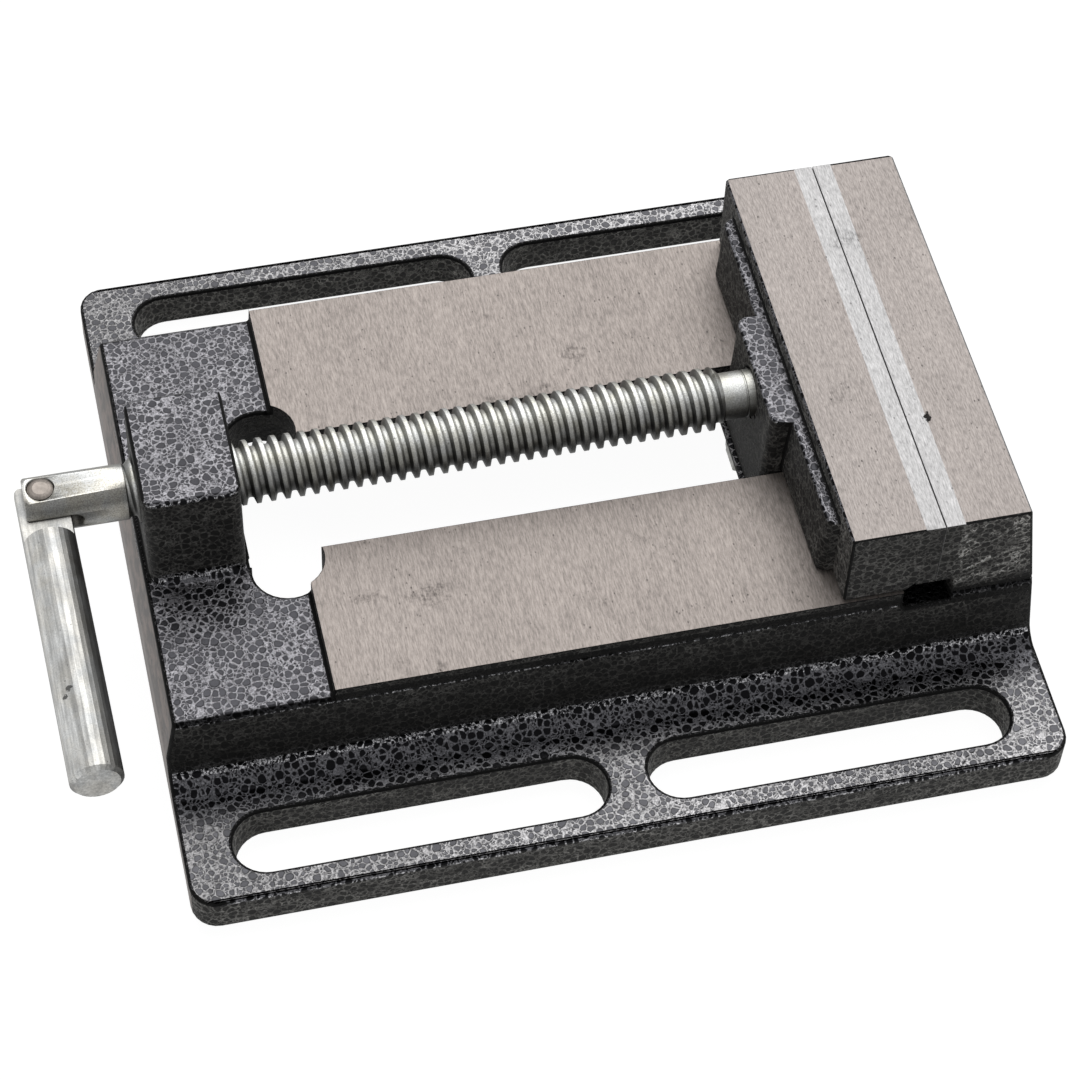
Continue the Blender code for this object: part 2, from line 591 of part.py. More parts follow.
def build_moving_jaw(frame):
    foot = RAIL_HEIGHT + RUNNING_GAP
    jaw = add_object("moving_jaw_casting", moving_jaw_block(), frame, PAINTED_IRON)
    web = drafted_rib("web", WEB_TOP_DEPTH, WEB_DRAFT, WEB_WIDTH / 2, foot, WEB_CORNER_RADIUS)
    join(jaw, "web_shape", web, frame)
    half_guide = GUIDE_WIDTH / 2
    guide = box(
        "guide",
        (MOVING_JAW_BACK - 1 * MM, -half_guide, RAIL_BOTTOM),
        (GUIDE_END, half_guide, foot + LOWER_CHAMFER),
    )
    join(jaw, "guide_shape", guide, frame)
    boss = drafted_rib(
        "journal_boss", JOURNAL_BOSS_DEPTH, JOURNAL_BOSS_DRAFT, half_guide, RAIL_BOTTOM, WEB_CORNER_RADIUS
    )
    join(jaw, "journal_boss_shape", boss, frame)

    journal_ends = (JOURNAL_BOSS_FACE - OVERSHOOT, MOVING_JAW_FACE - JOURNAL_WALL)
    journal_radius = JOURNAL_DIAMETER / 2 + RUNNING_GAP
    journal = cylinder("journal_bore", journal_radius, *journal_ends, (0, SCREW_AXIS_HEIGHT), "X")
    cut(jaw, "journal_bore_cutter", journal, frame)
    pin_hole_radius = PIN_DIAMETER / 2 + SEAT_GAP
    pin_hole_ends = (RAIL_BOTTOM - OVERSHOOT, SCREW_AXIS_HEIGHT + PIN_TOP_ABOVE_AXIS + SEAT_GAP)
    bolt_hole_radius = KEEPER_BOLT_DIAMETER / 2 + SEAT_GAP
    bolt_hole_ends = (RAIL_BOTTOM - OVERSHOOT, RAIL_BOTTOM + KEEPER_BOLT_ENGAGEMENT + SEAT_GAP)
    for side in (-1, 1):
        where = side_name(side)
        place = (GROOVE_X, side * PIN_OFFSET)
        pin_hole = cylinder("pin_hole", pin_hole_radius, *pin_hole_ends, place, steps=SMALL_STEPS)
        cut(jaw, "pin_hole_" + where, pin_hole, frame)
        place = (KEEPER_BOLT_X, side * KEEPER_BOLT_SPACING / 2)
        bolt_hole = cylinder("bolt_hole", bolt_hole_radius, *bolt_hole_ends, place, steps=SMALL_STEPS)
        cut(jaw, "bolt_hole_" + where, bolt_hole, frame)
        screw_hole = plate_screw_hole(MOVING_JAW_FACE, -1, side * PLATE_SCREW_SPACING / 2)
        cut(jaw, "moving_plate_screw_hole_" + where, screw_hole, frame)
    return jaw


def build_keeper(frame):
    """The plate under the rails, with chamfered edges, and its two bolts and their washers."""
    left = JOURNAL_BOSS_FACE - KEEPER_LEAD
    top = KEEPER_BOTTOM + KEEPER_THICKNESS
    chamfer = KEEPER_THICKNESS - KEEPER_EDGE
    outline = [
        (left, top), (left, top - KEEPER_EDGE), (left + chamfer, KEEPER_BOTTOM),
        (GUIDE_END - chamfer, KEEPER_BOTTOM), (GUIDE_END, top - KEEPER_EDGE), (GUIDE_END, top),
    ]
    shape = prism("keeper_plate", outline, -KEEPER_WIDTH / 2, KEEPER_WIDTH / 2, "Y")
    keeper = add_object("keeper_plate", shape, frame, PAINTED_IRON)
    hole_radius = KEEPER_BOLT_DIAMETER / 2 + SEAT_GAP
    washer_radius = WASHER_DIAMETER / 2
    washer_top = KEEPER_BOTTOM - SEAT_GAP
    washer_bottom = washer_top - WASHER_THICKNESS
    head_top = washer_bottom - SEAT_GAP
    head_bottom = head_top - KEEPER_BOLT_HEAD_HEIGHT
    head_radius = KEEPER_BOLT_ACROSS_FLATS / sqrt(3)
    shank = KEEPER_BOLT_DIAMETER / 2
    tip = 0.6 * MM
    bolt_top = RAIL_BOTTOM + KEEPER_BOLT_ENGAGEMENT
    profile = [
        (0, bolt_top), (shank - tip, bolt_top), (shank, bolt_top - tip), (shank, head_bottom + tip),
        (0, head_bottom + tip),
    ]
    for side in (-1, 1):
        where = side_name(side)
        place = (KEEPER_BOLT_X, side * KEEPER_BOLT_SPACING / 2)
        ends = (KEEPER_BOTTOM - OVERSHOOT, top + OVERSHOOT)
        hole = cylinder("keeper_hole", hole_radius, *ends, place, steps=SMALL_STEPS)
        cut(keeper, "keeper_hole_" + where, hole, frame)
        disc = cylinder("keeper_washer", washer_radius, washer_bottom, washer_top, place)
        washer = add_object("keeper_washer_" + where, disc, frame, ZINC_STEEL)
        opening = cylinder("washer_hole", hole_radius, 0, top, place, steps=SMALL_STEPS)
        cut(washer, "washer_hole_" + where, opening, frame)
        bolt = turned("keeper_bolt_" + where, profile, frame, ZINC_STEEL, (*place, 0), steps=SMALL_STEPS)
        hexagon = cylinder("bolt_head", head_radius, head_bottom, head_top, place, steps=6)
        join(bolt, "bolt_head_" + where, hexagon, frame)


def build_pins(frame):
    """Two pins that pass through the journal's groove, one at each side of the screw."""
    for side in (-1, 1):
        pin = cylinder(
            "screw_pin", PIN_DIAMETER / 2, RAIL_BOTTOM, SCREW_AXIS_HEIGHT + PIN_TOP_ABOVE_AXIS,
            (GROOVE_X, side * PIN_OFFSET), steps=SMALL_STEPS
        )
        add_object("screw_pin_" + side_name(side), pin, frame, DARK_STEEL)


def thread_shape(low, high):
    """The cut thread about X: a strip wound so that each turn meets the next, cut square at its ends."""
    crest = THREAD_DIAMETER / 2
    root = crest - THREAD_DEPTH
    strip = [(0, crest), (THREAD_CREST, crest), (THREAD_CREST + THREAD_FLANK, root),
             (THREAD_PITCH - THREAD_FLANK, root)]
    turns = round((high - low) / THREAD_PITCH) + 4
    bm = bmesh.new()
    rows = []
    for i in range(turns * THREAD_STEPS + 1):
        angle = 2 * pi * i / THREAD_STEPS
        row = []
        for offset, radius in strip:
            x = low + THREAD_PHASE + THREAD_PITCH * (i / THREAD_STEPS - 2) + offset
            run_in = JOURNAL_DIAMETER / 2 + SEAT_GAP + max(0, min(x - low, high - x))
            reach = min(radius, run_in)
            row.append(bm.verts.new((x, reach * sin(angle), -reach * cos(angle))))
        rows.append(row)
    for this, ahead in zip(rows, rows[1:]):
        for k in range(len(strip) - 1):
            bm.faces.new((this[k], ahead[k], ahead[k + 1], this[k + 1]))
    for i in range(len(rows) - 1 - THREAD_STEPS):
        turn = i + THREAD_STEPS
        bm.faces.new((rows[i][-1], rows[i + 1][-1], rows[turn + 1][0], rows[turn][0]))
    for x, outward in ((low, -1), (high, 1)):
        everything = bm.verts[:] + bm.edges[:] + bm.faces[:]
        bmesh.ops.bisect_plane(
            bm, geom=everything, plane_co=(x, 0, 0), plane_no=(outward, 0, 0), clear_outer=True
        )
        rim = [edge for edge in bm.edges if edge.is_boundary]
        rim = [edge for edge in rim if all(abs(vert.co.x - x) < 0.01 * MM for vert in edge.verts)]
        bmesh.ops.holes_fill(bm, edges=rim, sides=0)
    bmesh.ops.remove_doubles(bm, verts=bm.verts, dist=0.001 * MM)
    bmesh.ops.triangulate(bm, faces=bm.faces)
    return mesh_from(bm, "thread", radians(40))


def build_lead_screw(axis):
    """The screw, turned about X: its profile runs from the tip in the moving jaw to the fork."""
    def at(x):
        return x - THREAD_END

    core = THREAD_DIAMETER / 2 - THREAD_DEPTH - 2 * SEAT_GAP
    journal = JOURNAL_DIAMETER / 2
    head = HEAD_DIAMETER / 2
    groove = GROOVE_DIAMETER / 2
    half_groove = PIN_DIAMETER / 2 + SEAT_GAP
    tip = 1.0 * MM
    lap = 0.3 * MM  # how far the journal and the head run into the thread
    profile = [
        (0, at(SCREW_TIP)), (journal - tip, at(SCREW_TIP)), (journal, at(SCREW_TIP - tip)),
        (journal, at(GROOVE_X + half_groove)), (groove, at(GROOVE_X + half_groove)),
        (groove, at(GROOVE_X - half_groove)), (journal, at(GROOVE_X - half_groove)),
        (journal, at(THREAD_END - lap)), (core, at(THREAD_END - lap)),
        (core, at(THREAD_START + lap)), (head, at(THREAD_START + lap)),
        (head, at(FORK_END + 0.5 * MM)), (head - 0.5 * MM, at(FORK_END)), (0, at(FORK_END)),
    ]
    screw = turned("lead_screw", profile, axis, ZINC_STEEL, turn=(0, pi / 2, 0))
    join(screw, "thread", thread_shape(at(THREAD_START), at(THREAD_END)), axis)
    half_slot = FORK_SLOT_HEIGHT / 2
    slot_end = at(FORK_END + FORK_SLOT_DEPTH)
    slot = [(at(FORK_END) - OVERSHOOT, half_slot), (at(FORK_END) - OVERSHOOT, -half_slot)]
    slot += arc((slot_end - half_slot, 0), half_slot, -90, 90, 8)
    cut(screw, "fork_slot", prism("fork_slot", slot, -HEAD_DIAMETER, HEAD_DIAMETER, "Y"), axis)
    hole_radius = RIVET_DIAMETER / 2 + SEAT_GAP
    hole_ends = (-HEAD_DIAMETER, HEAD_DIAMETER)
    hole = cylinder("rivet_hole", hole_radius, *hole_ends, (at(RIVET_X), 0), steps=SMALL_STEPS)
    cut(screw, "rivet_hole", hole, axis)

    rivet_radius = RIVET_DIAMETER / 2
    crown = 0.5 * MM
    shoulder = sqrt(head ** 2 - rivet_radius ** 2)
    rivet_profile = [
        (0, shoulder + crown), (rivet_radius * 0.6, shoulder + crown * 0.8), (rivet_radius, shoulder),
        (rivet_radius, -shoulder), (rivet_radius * 0.6, -shoulder - crown * 0.8), (0, -shoulder - crown),
    ]
    turned("handle_rivet", rivet_profile, axis, ZINC_STEEL, (at(RIVET_X), 0, 0), steps=SMALL_STEPS)


def build_handle(pivot):
    """The bar points along -Y of its pivot. Its end in the fork is milled to a flat tongue."""
    rod = HANDLE_RADIUS
    profile = [
        (0, TONGUE_BACK), (rod, TONGUE_BACK), (rod, -HANDLE_LENGTH + HANDLE_TIP_CHAMFER),
        (rod - HANDLE_TIP_CHAMFER, -HANDLE_LENGTH), (0, -HANDLE_LENGTH),
    ]
    bar = turned("handle_bar", profile, pivot, ZINC_STEEL, turn=(-pi / 2, 0, 0))
    half_tongue = FORK_SLOT_HEIGHT / 2 - RUNNING_GAP
    wide = HANDLE_DIAMETER
    for side in (-1, 1):
        low, high = sorted((side * half_tongue, side * wide))
        flat = box("tongue_flat", (-wide, -HANDLE_SHOULDER, low), (wide, wide, high))
        cut(bar, "tongue_flat_" + ("top" if side > 0 else "bottom"), flat, pivot)
    corner = TONGUE_CORNER
    for side in (-1, 1):
        outline = [
            (side * (rod + corner), TONGUE_BACK + corner),
            (side * (rod + corner), TONGUE_BACK - 2 * corner),
            (side * (rod - 2 * corner), TONGUE_BACK + corner),
        ]
        where = "left" if side < 0 else "right"
        cut(bar, "tongue_corner_" + where, prism("tongue_corner", outline, -wide, wide), pivot)
    hole = cylinder("tongue_hole", RIVET_DIAMETER / 2 + RUNNING_GAP, -wide, wide, steps=SMALL_STEPS)
    cut(bar, "tongue_hole", hole, pivot)


def build_vise():
    frame = empty("base_frame", (-CENTRE_X, 0, 0))
    slide = empty("jaw_slide", (0, 0, 0), frame)
    axis = empty("screw_axis", (THREAD_END, 0, SCREW_AXIS_HEIGHT), slide)
    pivot = empty("handle_pivot", (RIVET_X - THREAD_END, 0, 0), axis)
    pivot.rotation_euler = (0, 0, HANDLE_SWING)

    build_base(frame)
    jaw_plate("fixed_jaw_plate", frame, FIXED_PLATE_FACE, 1)
    jaw_plate("moving_jaw_plate", slide, MOVING_PLATE_FACE, -1)
    for side in (-1, 1):
        plate_screw("fixed_plate_screw_" + side_name(side), frame, FIXED_PLATE_FACE, 1, side)
        plate_screw("moving_plate_screw_" + side_name(side), slide, MOVING_PLATE_FACE, -1, side)
    build_moving_jaw(slide)
    build_keeper(slide)
    build_pins(slide)
    build_lead_screw(axis)
    build_handle(pivot)


build_vise()
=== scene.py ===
"""Looks of the drill press vise: the screw's cut thread, rounded edges, finishes, the camera and the light.

Everything is in metres, in the frame of the CAD model.
"""

import json
from math import cos, pi, radians, sin

import bmesh
import bpy
from mathutils import Matrix, Vector

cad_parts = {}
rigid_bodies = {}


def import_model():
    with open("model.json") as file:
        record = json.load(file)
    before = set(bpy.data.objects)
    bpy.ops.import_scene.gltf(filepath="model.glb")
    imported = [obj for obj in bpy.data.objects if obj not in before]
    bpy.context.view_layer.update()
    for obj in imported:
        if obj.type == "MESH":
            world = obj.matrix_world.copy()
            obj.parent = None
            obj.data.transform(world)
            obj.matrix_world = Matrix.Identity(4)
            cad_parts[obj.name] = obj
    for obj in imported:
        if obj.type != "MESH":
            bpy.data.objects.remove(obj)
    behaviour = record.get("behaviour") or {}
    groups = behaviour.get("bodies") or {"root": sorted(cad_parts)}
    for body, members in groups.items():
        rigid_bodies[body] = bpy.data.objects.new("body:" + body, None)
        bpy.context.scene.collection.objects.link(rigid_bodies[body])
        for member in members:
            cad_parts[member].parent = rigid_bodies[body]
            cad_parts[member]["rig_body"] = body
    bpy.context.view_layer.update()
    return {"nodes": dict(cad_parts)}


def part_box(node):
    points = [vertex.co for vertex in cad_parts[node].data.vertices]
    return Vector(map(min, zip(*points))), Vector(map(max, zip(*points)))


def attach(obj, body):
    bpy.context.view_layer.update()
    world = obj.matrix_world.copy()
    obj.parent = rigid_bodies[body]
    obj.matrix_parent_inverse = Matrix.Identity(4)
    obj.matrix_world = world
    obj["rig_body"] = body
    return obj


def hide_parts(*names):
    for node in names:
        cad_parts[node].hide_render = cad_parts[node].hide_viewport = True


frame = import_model()
NODES = frame["nodes"]
MM = 0.001

# Places that the pieces and the materials need
SCREW_LOW, SCREW_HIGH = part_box("lead_screw")
PLATE_LOW, PLATE_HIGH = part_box("moving_jaw_plate")
FIXED_LOW, FIXED_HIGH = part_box("fixed_jaw_plate")
JAW_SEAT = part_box("moving_jaw_casting")[1].x
LEFT_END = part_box("base_casting")[0].x
SCREW_AXIS = (SCREW_LOW.z + SCREW_HIGH.z) / 2
JAW_TOP = PLATE_HIGH.z
RAIL_TOP = 30.1 * MM
BOSS_RIM = 50.6 * MM  # above this height only the boss's rim slopes

# Rounded edges
IRON_ROUNDING = 0.7 * MM
JAW_ROUNDING = 0.5 * MM
PLATE_ROUNDING = 0.12 * MM
GROUND_ROUNDING = 0.15 * MM
NARROW_FACE = 0.8 * MM  # a face this narrow is a rounding already
WIDTH_SHARE = 0.4  # of a face's width, the most that a rounding takes
SHARP_ANGLE = radians(40)
LEVEL = 0.98  # the upward part of a level face's normal

# Lead screw
PITCH = 3.0 * MM
THREAD_RADIUS = 6.7 * MM
THREAD_DEPTH = 1.5 * MM
THREAD_START = LEFT_END + 1.1 * MM
THREAD_END = LEFT_END + 126.2 * MM
THREAD_PHASE = 1.6 * MM  # from the thread's start to where its first ridge passes the front
JOURNAL_RING = LEFT_END + 131.0 * MM
TURN_STEPS = 64
HEAD_RADIUS = 5.8 * MM
JOURNAL_RADIUS = 5.05 * MM
GROOVE_RADIUS = 3.7 * MM
GROOVE_X = LEFT_END + 147.0 * MM
FORK_SLOT_DEPTH = 11.7 * MM
FORK_SLOT_HEIGHT = 4.0 * MM
RIVET_INSET = 3.6 * MM
RIVET_HOLE_RADIUS = 2.95 * MM

# Marks on the ground faces and the handle, in millimetres: their place, and how far they reach
RAIL_SMUDGES = (
    ((-22.8, -31.4, 30.1), (5.0, 3.0, 2.0)),
    ((-34.7, -29.3, 30.1), (3.5, 2.0, 2.0)),
    ((20.8, 25.3, 30.1), (4.0, 2.5, 2.0)),
)
JAW_PIT = ((83.1, -21.8, 50.4), (0.9, 1.6, 1.0))
HANDLE_NICKS = (
    ((-97.6, -48.9, 44.3), (0.8, 0.9, 2.5)),
    ((-98.6, -50.4, 44.3), (0.6, 0.8, 2.5)),
)
STREAK_ANGLE = radians(28)  # of the marks on the fixed jaw's ends, from level


def from_left(*lengths):
    """Places along X, in millimetres, that lie this far from the base's left end."""
    return [LEFT_END / MM + length for length in lengths]


# Where the castings' finish and its painted shade and glints change, in millimetres: each pair is where the
# change begins and where it ends
FLANGE_TO_BED = (14.0, 24.0)
FLANGE_FADE = from_left(10.0, 120.0)
WALL_FOOT = (-66.0, -57.5)
WALL_FOOT_BACK = (-40.0, -42.0)
WALL_TO_FLANGE = (11.0, 8.5)
RAIL_TO_JAW = (29.0, 31.5)
MOVING_JAW = from_left(138.0, 140.0)
FIXED_JAW = from_left(162.5, 164.0)
FIXED_JAW_FRONT = (-49.0, -49.8)
BED_START = from_left(30.0, 30.1)
LEFT_FACE = from_left(2.4, 2.2)
LEFT_FACE_TOP = (35.0, 33.5)
RAIL_TO_JAW_TOP = (40.0, 45.0)
JAW_GROOVE = from_left(152.5, 153.5)
JAW_GROOVE_FLOOR = (24.0, 24.5)
JAW_GROOVE_ROOF = (27.0, 26.5)
LEDGE_REACH = (49.7, 49.9)
LEDGE_BOTTOM = (26.2, 26.4)
LEDGE_TOP = (28.6, 28.3)
RAIL_EDGE_BOTTOM = (25.5, 26.0)
RAIL_EDGE_TOP = (28.6, 28.2)
RAIL_EDGE = from_left(31.0, 32.0)
JAW_EDGE = from_left(151.0, 152.0)
BOSS_TOP = (50.0, 50.5)


def new_object(name, mesh, finish=None):
    made = bpy.data.objects.new(name, mesh)
    bpy.context.scene.collection.objects.link(made)
    if finish:
        mesh.materials.clear()
        mesh.materials.append(finish)
    return made


def mesh_from(bm, name, sharp_angle=SHARP_ANGLE):
    bmesh.ops.recalc_face_normals(bm, faces=bm.faces)
    mesh = bpy.data.meshes.new(name)
    bm.to_mesh(mesh)
    bm.free()
    mesh.shade_smooth()
    mesh.set_sharp_from_angle(angle=sharp_angle)
    return mesh


class Finish:
    """Builds a material from nodes. Its place is the object's own coordinates, in millimetres."""

    def __init__(self, name):
        self.material = bpy.data.materials.new(name)
        self.material.use_nodes = True
        tree = self.material.node_tree
        tree.nodes.clear()
        self.nodes = tree.nodes
        self.links = tree.links
        self.output = self.nodes.new("ShaderNodeOutputMaterial")
        coordinates = self.nodes.new("ShaderNodeTexCoord")
        self.place = self.vector("SCALE", coordinates.outputs["Object"], scale=1 / MM)
        apart = self.nodes.new("ShaderNodeSeparateXYZ")
        self.links.new(self.place, apart.inputs[0])
        self.x, self.y, self.z = apart.outputs

    def feed(self, socket, value):
        if isinstance(value, bpy.types.NodeSocket):
            self.links.new(value, socket)
        elif isinstance(value, tuple) and len(value) == 3 and socket.type == "RGBA":
            socket.default_value = (*value, 1.0)
        else:
            socket.default_value = value

    def node(self, kind, inputs, **settings):
        made = self.nodes.new("ShaderNode" + kind)
        for key, value in settings.items():
            setattr(made, key, value)
        for key, value in inputs.items():
            self.feed(made.inputs[key], value)
        return made

    def math(self, operation, *values, clamp=False):
        inputs = dict(enumerate(values))
        return self.node("Math", inputs, operation=operation, use_clamp=clamp).outputs[0]

    def vector(self, operation, first, second=None, scale=None):
        inputs = {0: first}
        if second is not None:
            inputs[1] = second
        if scale is not None:
            inputs["Scale"] = scale
        return self.node("VectorMath", inputs, operation=operation).outputs[0]

    def total(self, *values):
        made = values[0]
        for value in values[1:]:
            made = self.math("ADD", made, value)
        return made

    def product(self, *values):
        made = values[0]
        for value in values[1:]:
            made = self.math("MULTIPLY", made, value)
        return made

    def ramp(self, value, low, high, first=0.0, last=1.0, smooth=True):
        """Goes from first to last as the value goes from low to high."""
        inputs = {"Value": value, "From Min": low, "From Max": high, "To Min": first, "To Max": last}
        kind = "SMOOTHSTEP" if smooth else "LINEAR"
        return self.node("MapRange", inputs, interpolation_type=kind).outputs[0]

    def mix(self, share, first, second):
        made = self.node("Mix", {"Factor": share}, data_type="RGBA")
        self.feed(made.inputs[6], first)
        self.feed(made.inputs[7], second)
        return made.outputs[2]

    def between(self, share, first, second):
        made = self.node("Mix", {"Factor": share}, data_type="FLOAT")
        self.feed(made.inputs[2], first)
        self.feed(made.inputs[3], second)
        return made.outputs[0]

    def stretched(self, stretch, shift=(0, 0, 0)):
        """The place with each axis scaled, so that a texture is drawn out along one of them."""
        return self.vector("MULTIPLY", self.vector("ADD", self.place, shift), stretch)

    def slanted(self, angle, stretch):
        """The place turned about Y and then scaled along each axis."""
        inputs = {"Vector": self.place, "Angle": angle}
        turned = self.node("VectorRotate", inputs, rotation_type="Y_AXIS").outputs[0]
        return self.vector("MULTIPLY", turned, stretch)

    def noise(self, size, detail=2.0, roughness=0.5, place=None, colour=False):
        """Noise whose main lumps are about this many millimetres across, from 0 to 1."""
        inputs = {"Vector": place or self.place, "Scale": 1 / size, "Detail": detail}
        inputs["Roughness"] = roughness
        return self.node("TexNoise", inputs).outputs["Color" if colour else 0]

    def cells(self, size, place, feature="F1"):
        inputs = {"Vector": place, "Scale": 1 / size}
        return self.node("TexVoronoi", inputs, feature=feature).outputs

    def wobbled(self, amount, size):
        """The place, which noise shifts by up to this many millimetres."""
        shift = self.vector("SUBTRACT", self.noise(size, 1.0, colour=True), (0.5, 0.5, 0.5))
        return self.vector("ADD", self.place, self.vector("SCALE", shift, scale=2 * amount))

    def bands(self, value, *stops):
        """A grey that goes from stop to stop. Each stop is a value and its grey."""
        low, high = stops[0][0], stops[-1][0]
        made = self.node("ValToRGB", {0: self.ramp(value, low, high, smooth=False)})
        marks = made.color_ramp.elements
        marks[0].color = (*[stops[0][1]] * 3, 1)
        marks[1].color = (*[stops[-1][1]] * 3, 1)
        for place, grey in stops[1:-1]:
            mark = marks.new((place - low) / (high - low))
            mark.color = (grey, grey, grey, 1)
        return made.outputs[0]

    def bump(self, height, depth):
        """Relief of this many millimetres."""
        inputs = {"Height": height, "Distance": depth * MM, "Strength": 1.0}
        return self.node("Bump", inputs).outputs[0]

    def close(self, colour, roughness, metallic, normal, specular=0.5):
        """Ends the material in one shader."""
        inputs = {"Base Color": colour, "Roughness": roughness, "Metallic": metallic, "Normal": normal}
        inputs["Specular IOR Level"] = specular
        shader = self.node("BsdfPrincipled", inputs)
        self.links.new(shader.outputs[0], self.output.inputs[0])
        return self.material


def srgb(*channels):
    """Linear colour from display values, which go from 0 to 255."""
    return tuple((c / 255 / 12.92) if c <= 10 else ((c / 255 + 0.055) / 1.055) ** 2.4 for c in channels)


def facing(f, kind="True Normal"):
    """The normal, as x, y and z. The kind is True Normal for flat faces, or Normal for smoothed ones."""
    apart = f.nodes.new("ShaderNodeSeparateXYZ")
    geometry = f.nodes.new("ShaderNodeNewGeometry")
    f.links.new(geometry.outputs[kind], apart.inputs[0])
    return apart.outputs


# Ground iron
def mark_at(f, place, reach, size):
    """A mark about this place, in millimetres: 1 in its middle, 0 outside its reach, and ragged between."""
    apart = f.vector("MULTIPLY", f.vector("SUBTRACT", f.place, place), tuple(1 / r for r in reach))
    distance = f.node("VectorMath", {0: apart}, operation="LENGTH").outputs["Value"]
    ragged = f.math("ADD", distance, f.ramp(f.noise(size, 3.0, 0.6), 0.3, 0.7, -0.5, 0.5, False))
    return f.ramp(ragged, 1.0, 0.5)


def ground_iron(f, tone):
    """Colour, roughness and height of a ground face, with short scratches along Y, pores and smudges."""
    scratches = f.noise(0.30, 2.0, 0.55, f.stretched((1.0, 0.16, 1.0)))
    broad = f.noise(1.3, 2.0, 0.5, f.stretched((1.0, 0.08, 1.0), (31, 7, 0)))
    clouds = f.noise(22.0, 3.0, 0.5)
    fine = f.noise(0.22, 1.0, 0.5, f.stretched((1.0, 0.5, 1.0), (3, 60, 8)))
    pores = f.cells(1.2, f.stretched((1.0, 0.6, 1.0)))[0]
    pore = f.product(f.ramp(pores, 0.09, 0.17, 1.0, 0.0), f.ramp(f.noise(6.0), 0.44, 0.62, 0.1, 1.0))
    smudge = f.product(f.ramp(f.noise(13.0, 4.0, 0.6, f.stretched((1, 1, 1), (5, 41, 3))), 0.61, 0.74),
                       f.ramp(f.noise(1.1, 3.0, 0.7), 0.35, 0.65))
    dabs = f.ramp(f.noise(0.9, 3.0, 0.7), 0.38, 0.66)
    for place, reach in RAIL_SMUDGES:
        smudge = f.math("MAXIMUM", smudge, f.product(mark_at(f, place, reach, 2.6), dabs))
    pit = mark_at(f, *JAW_PIT, 0.8)
    shade = f.total(
        f.ramp(scratches, 0.28, 0.72, -0.34, 0.34, False), f.ramp(broad, 0.3, 0.7, -0.06, 0.06, False),
        f.ramp(clouds, 0.3, 0.7, -0.05, 0.05, False), f.ramp(fine, 0.3, 0.7, -0.07, 0.07, False), 1.0
    )
    shade = f.math("SUBTRACT", shade, f.product(smudge, 0.30))
    shade = f.math("SUBTRACT", shade, f.product(pore, 0.5))
    shade = f.product(shade, f.ramp(pit, 0.3, 0.7, 1.0, 0.04))
    colour = f.vector("SCALE", tone, scale=shade)
    roughness = f.total(0.42, f.product(scratches, 0.14), f.product(smudge, 0.1))
    height = f.math("SUBTRACT", f.product(scratches, 0.5), f.math("MAXIMUM", pore, pit))
    return colour, roughness, height


# Hammered paint
def paint_cells(f, size, shift, share, radius, line):
    """Rounded sunken cells: how far inside one each point is, its light rim, and the cell's own shade."""
    shifted = f.vector("SUBTRACT", f.noise(0.7 * size, 1.0, colour=True), (0.5, 0.5, 0.5))
    place = f.vector("ADD", f.vector("ADD", f.place, shift), f.vector("SCALE", shifted, scale=0.30 * size))
    near = f.cells(size, place)
    far = f.cells(size, place, "F2")["Distance"]
    chance = f.node("SeparateColor", {0: near["Color"]}).outputs
    kept = f.math("LESS_THAN", chance[0], share)
    reach = f.ramp(chance[1], 0.0, 1.0, 0.75 * radius, radius, False)
    depth = f.math("SUBTRACT", reach, near["Distance"])
    gap = f.math("SUBTRACT", far, near["Distance"])
    inside = f.product(f.ramp(depth, -0.05, 0.10), f.ramp(gap, 0.7 * line, line + 0.12), kept)
    rim = f.product(f.ramp(depth, -0.16, -0.06), kept)
    shade = f.product(f.ramp(depth, 0.0, 0.25, 0.62, 1.15), f.ramp(chance[2], 0.0, 1.0, 0.8, 1.2, False))
    return inside, rim, shade


def cell_net(f):
    """Cells of three sizes, each kept off the larger ones: where they are, and the shade at each point."""
    large, large_rim, large_shade = paint_cells(f, 1.75, (0, 0, 0), 0.78, 0.66, 0.11)
    middle, middle_rim, middle_shade = paint_cells(f, 1.05, (17, 5, 9), 1.0, 0.72, 0.13)
    small, _, small_shade = paint_cells(f, 0.55, (41, 3, 7), 1.0, 0.78, 0.17)
    middle = f.product(middle, f.math("SUBTRACT", 1.0, large_rim))
    taken = f.math("MAXIMUM", large_rim, f.product(middle_rim, 0.8))
    small = f.product(small, f.math("SUBTRACT", 1.0, taken), 0.85)
    cells = f.math("MAXIMUM", f.math("MAXIMUM", large, middle), small)
    shade = f.between(large, f.between(middle, small_shade, middle_shade), large_shade)
    return cells, shade


def upper_tones(f, up, specks):
    """Tones of the net and of its cells on upper faces, with painted shade on slopes, a painted reflection
    of the front wall beside the wall's foot, and painted glints on fillets.
    """
    high = f.ramp(f.z, *FLANGE_TO_BED)
    light = f.mix(high, srgb(170, 169, 170), srgb(136, 135, 139))
    dark = f.mix(high, srgb(73, 73, 76), srgb(54, 54, 57))
    fade = f.between(high, f.ramp(f.x, *FLANGE_FADE, 0.62, 1.0, False), 1.0)
    light = f.vector("SCALE", light, scale=fade)
    dark = f.vector("SCALE", dark, scale=f.between(0.5, fade, 1.0))
    # Painted reflection of the dark front wall on the flange beside its foot, and painted shade on slopes
    foot = f.product(
        f.ramp(f.y, *WALL_FOOT), f.ramp(f.y, *WALL_FOOT_BACK), f.math("SUBTRACT", 1.0, high)
    )
    painted_shade_mask = f.math("MAXIMUM", f.ramp(up, 0.985, 0.90), foot)
    light = f.mix(painted_shade_mask, light, srgb(96, 96, 100))
    dark = f.mix(painted_shade_mask, dark, srgb(16, 16, 18))
    # Painted glints on steep slopes and fillets
    glint = f.product(f.ramp(up, 0.10, 0.22), f.ramp(up, 0.75, 0.50), f.ramp(specks, 0.48, 0.58))
    return f.mix(glint, light, srgb(205, 205, 208)), dark


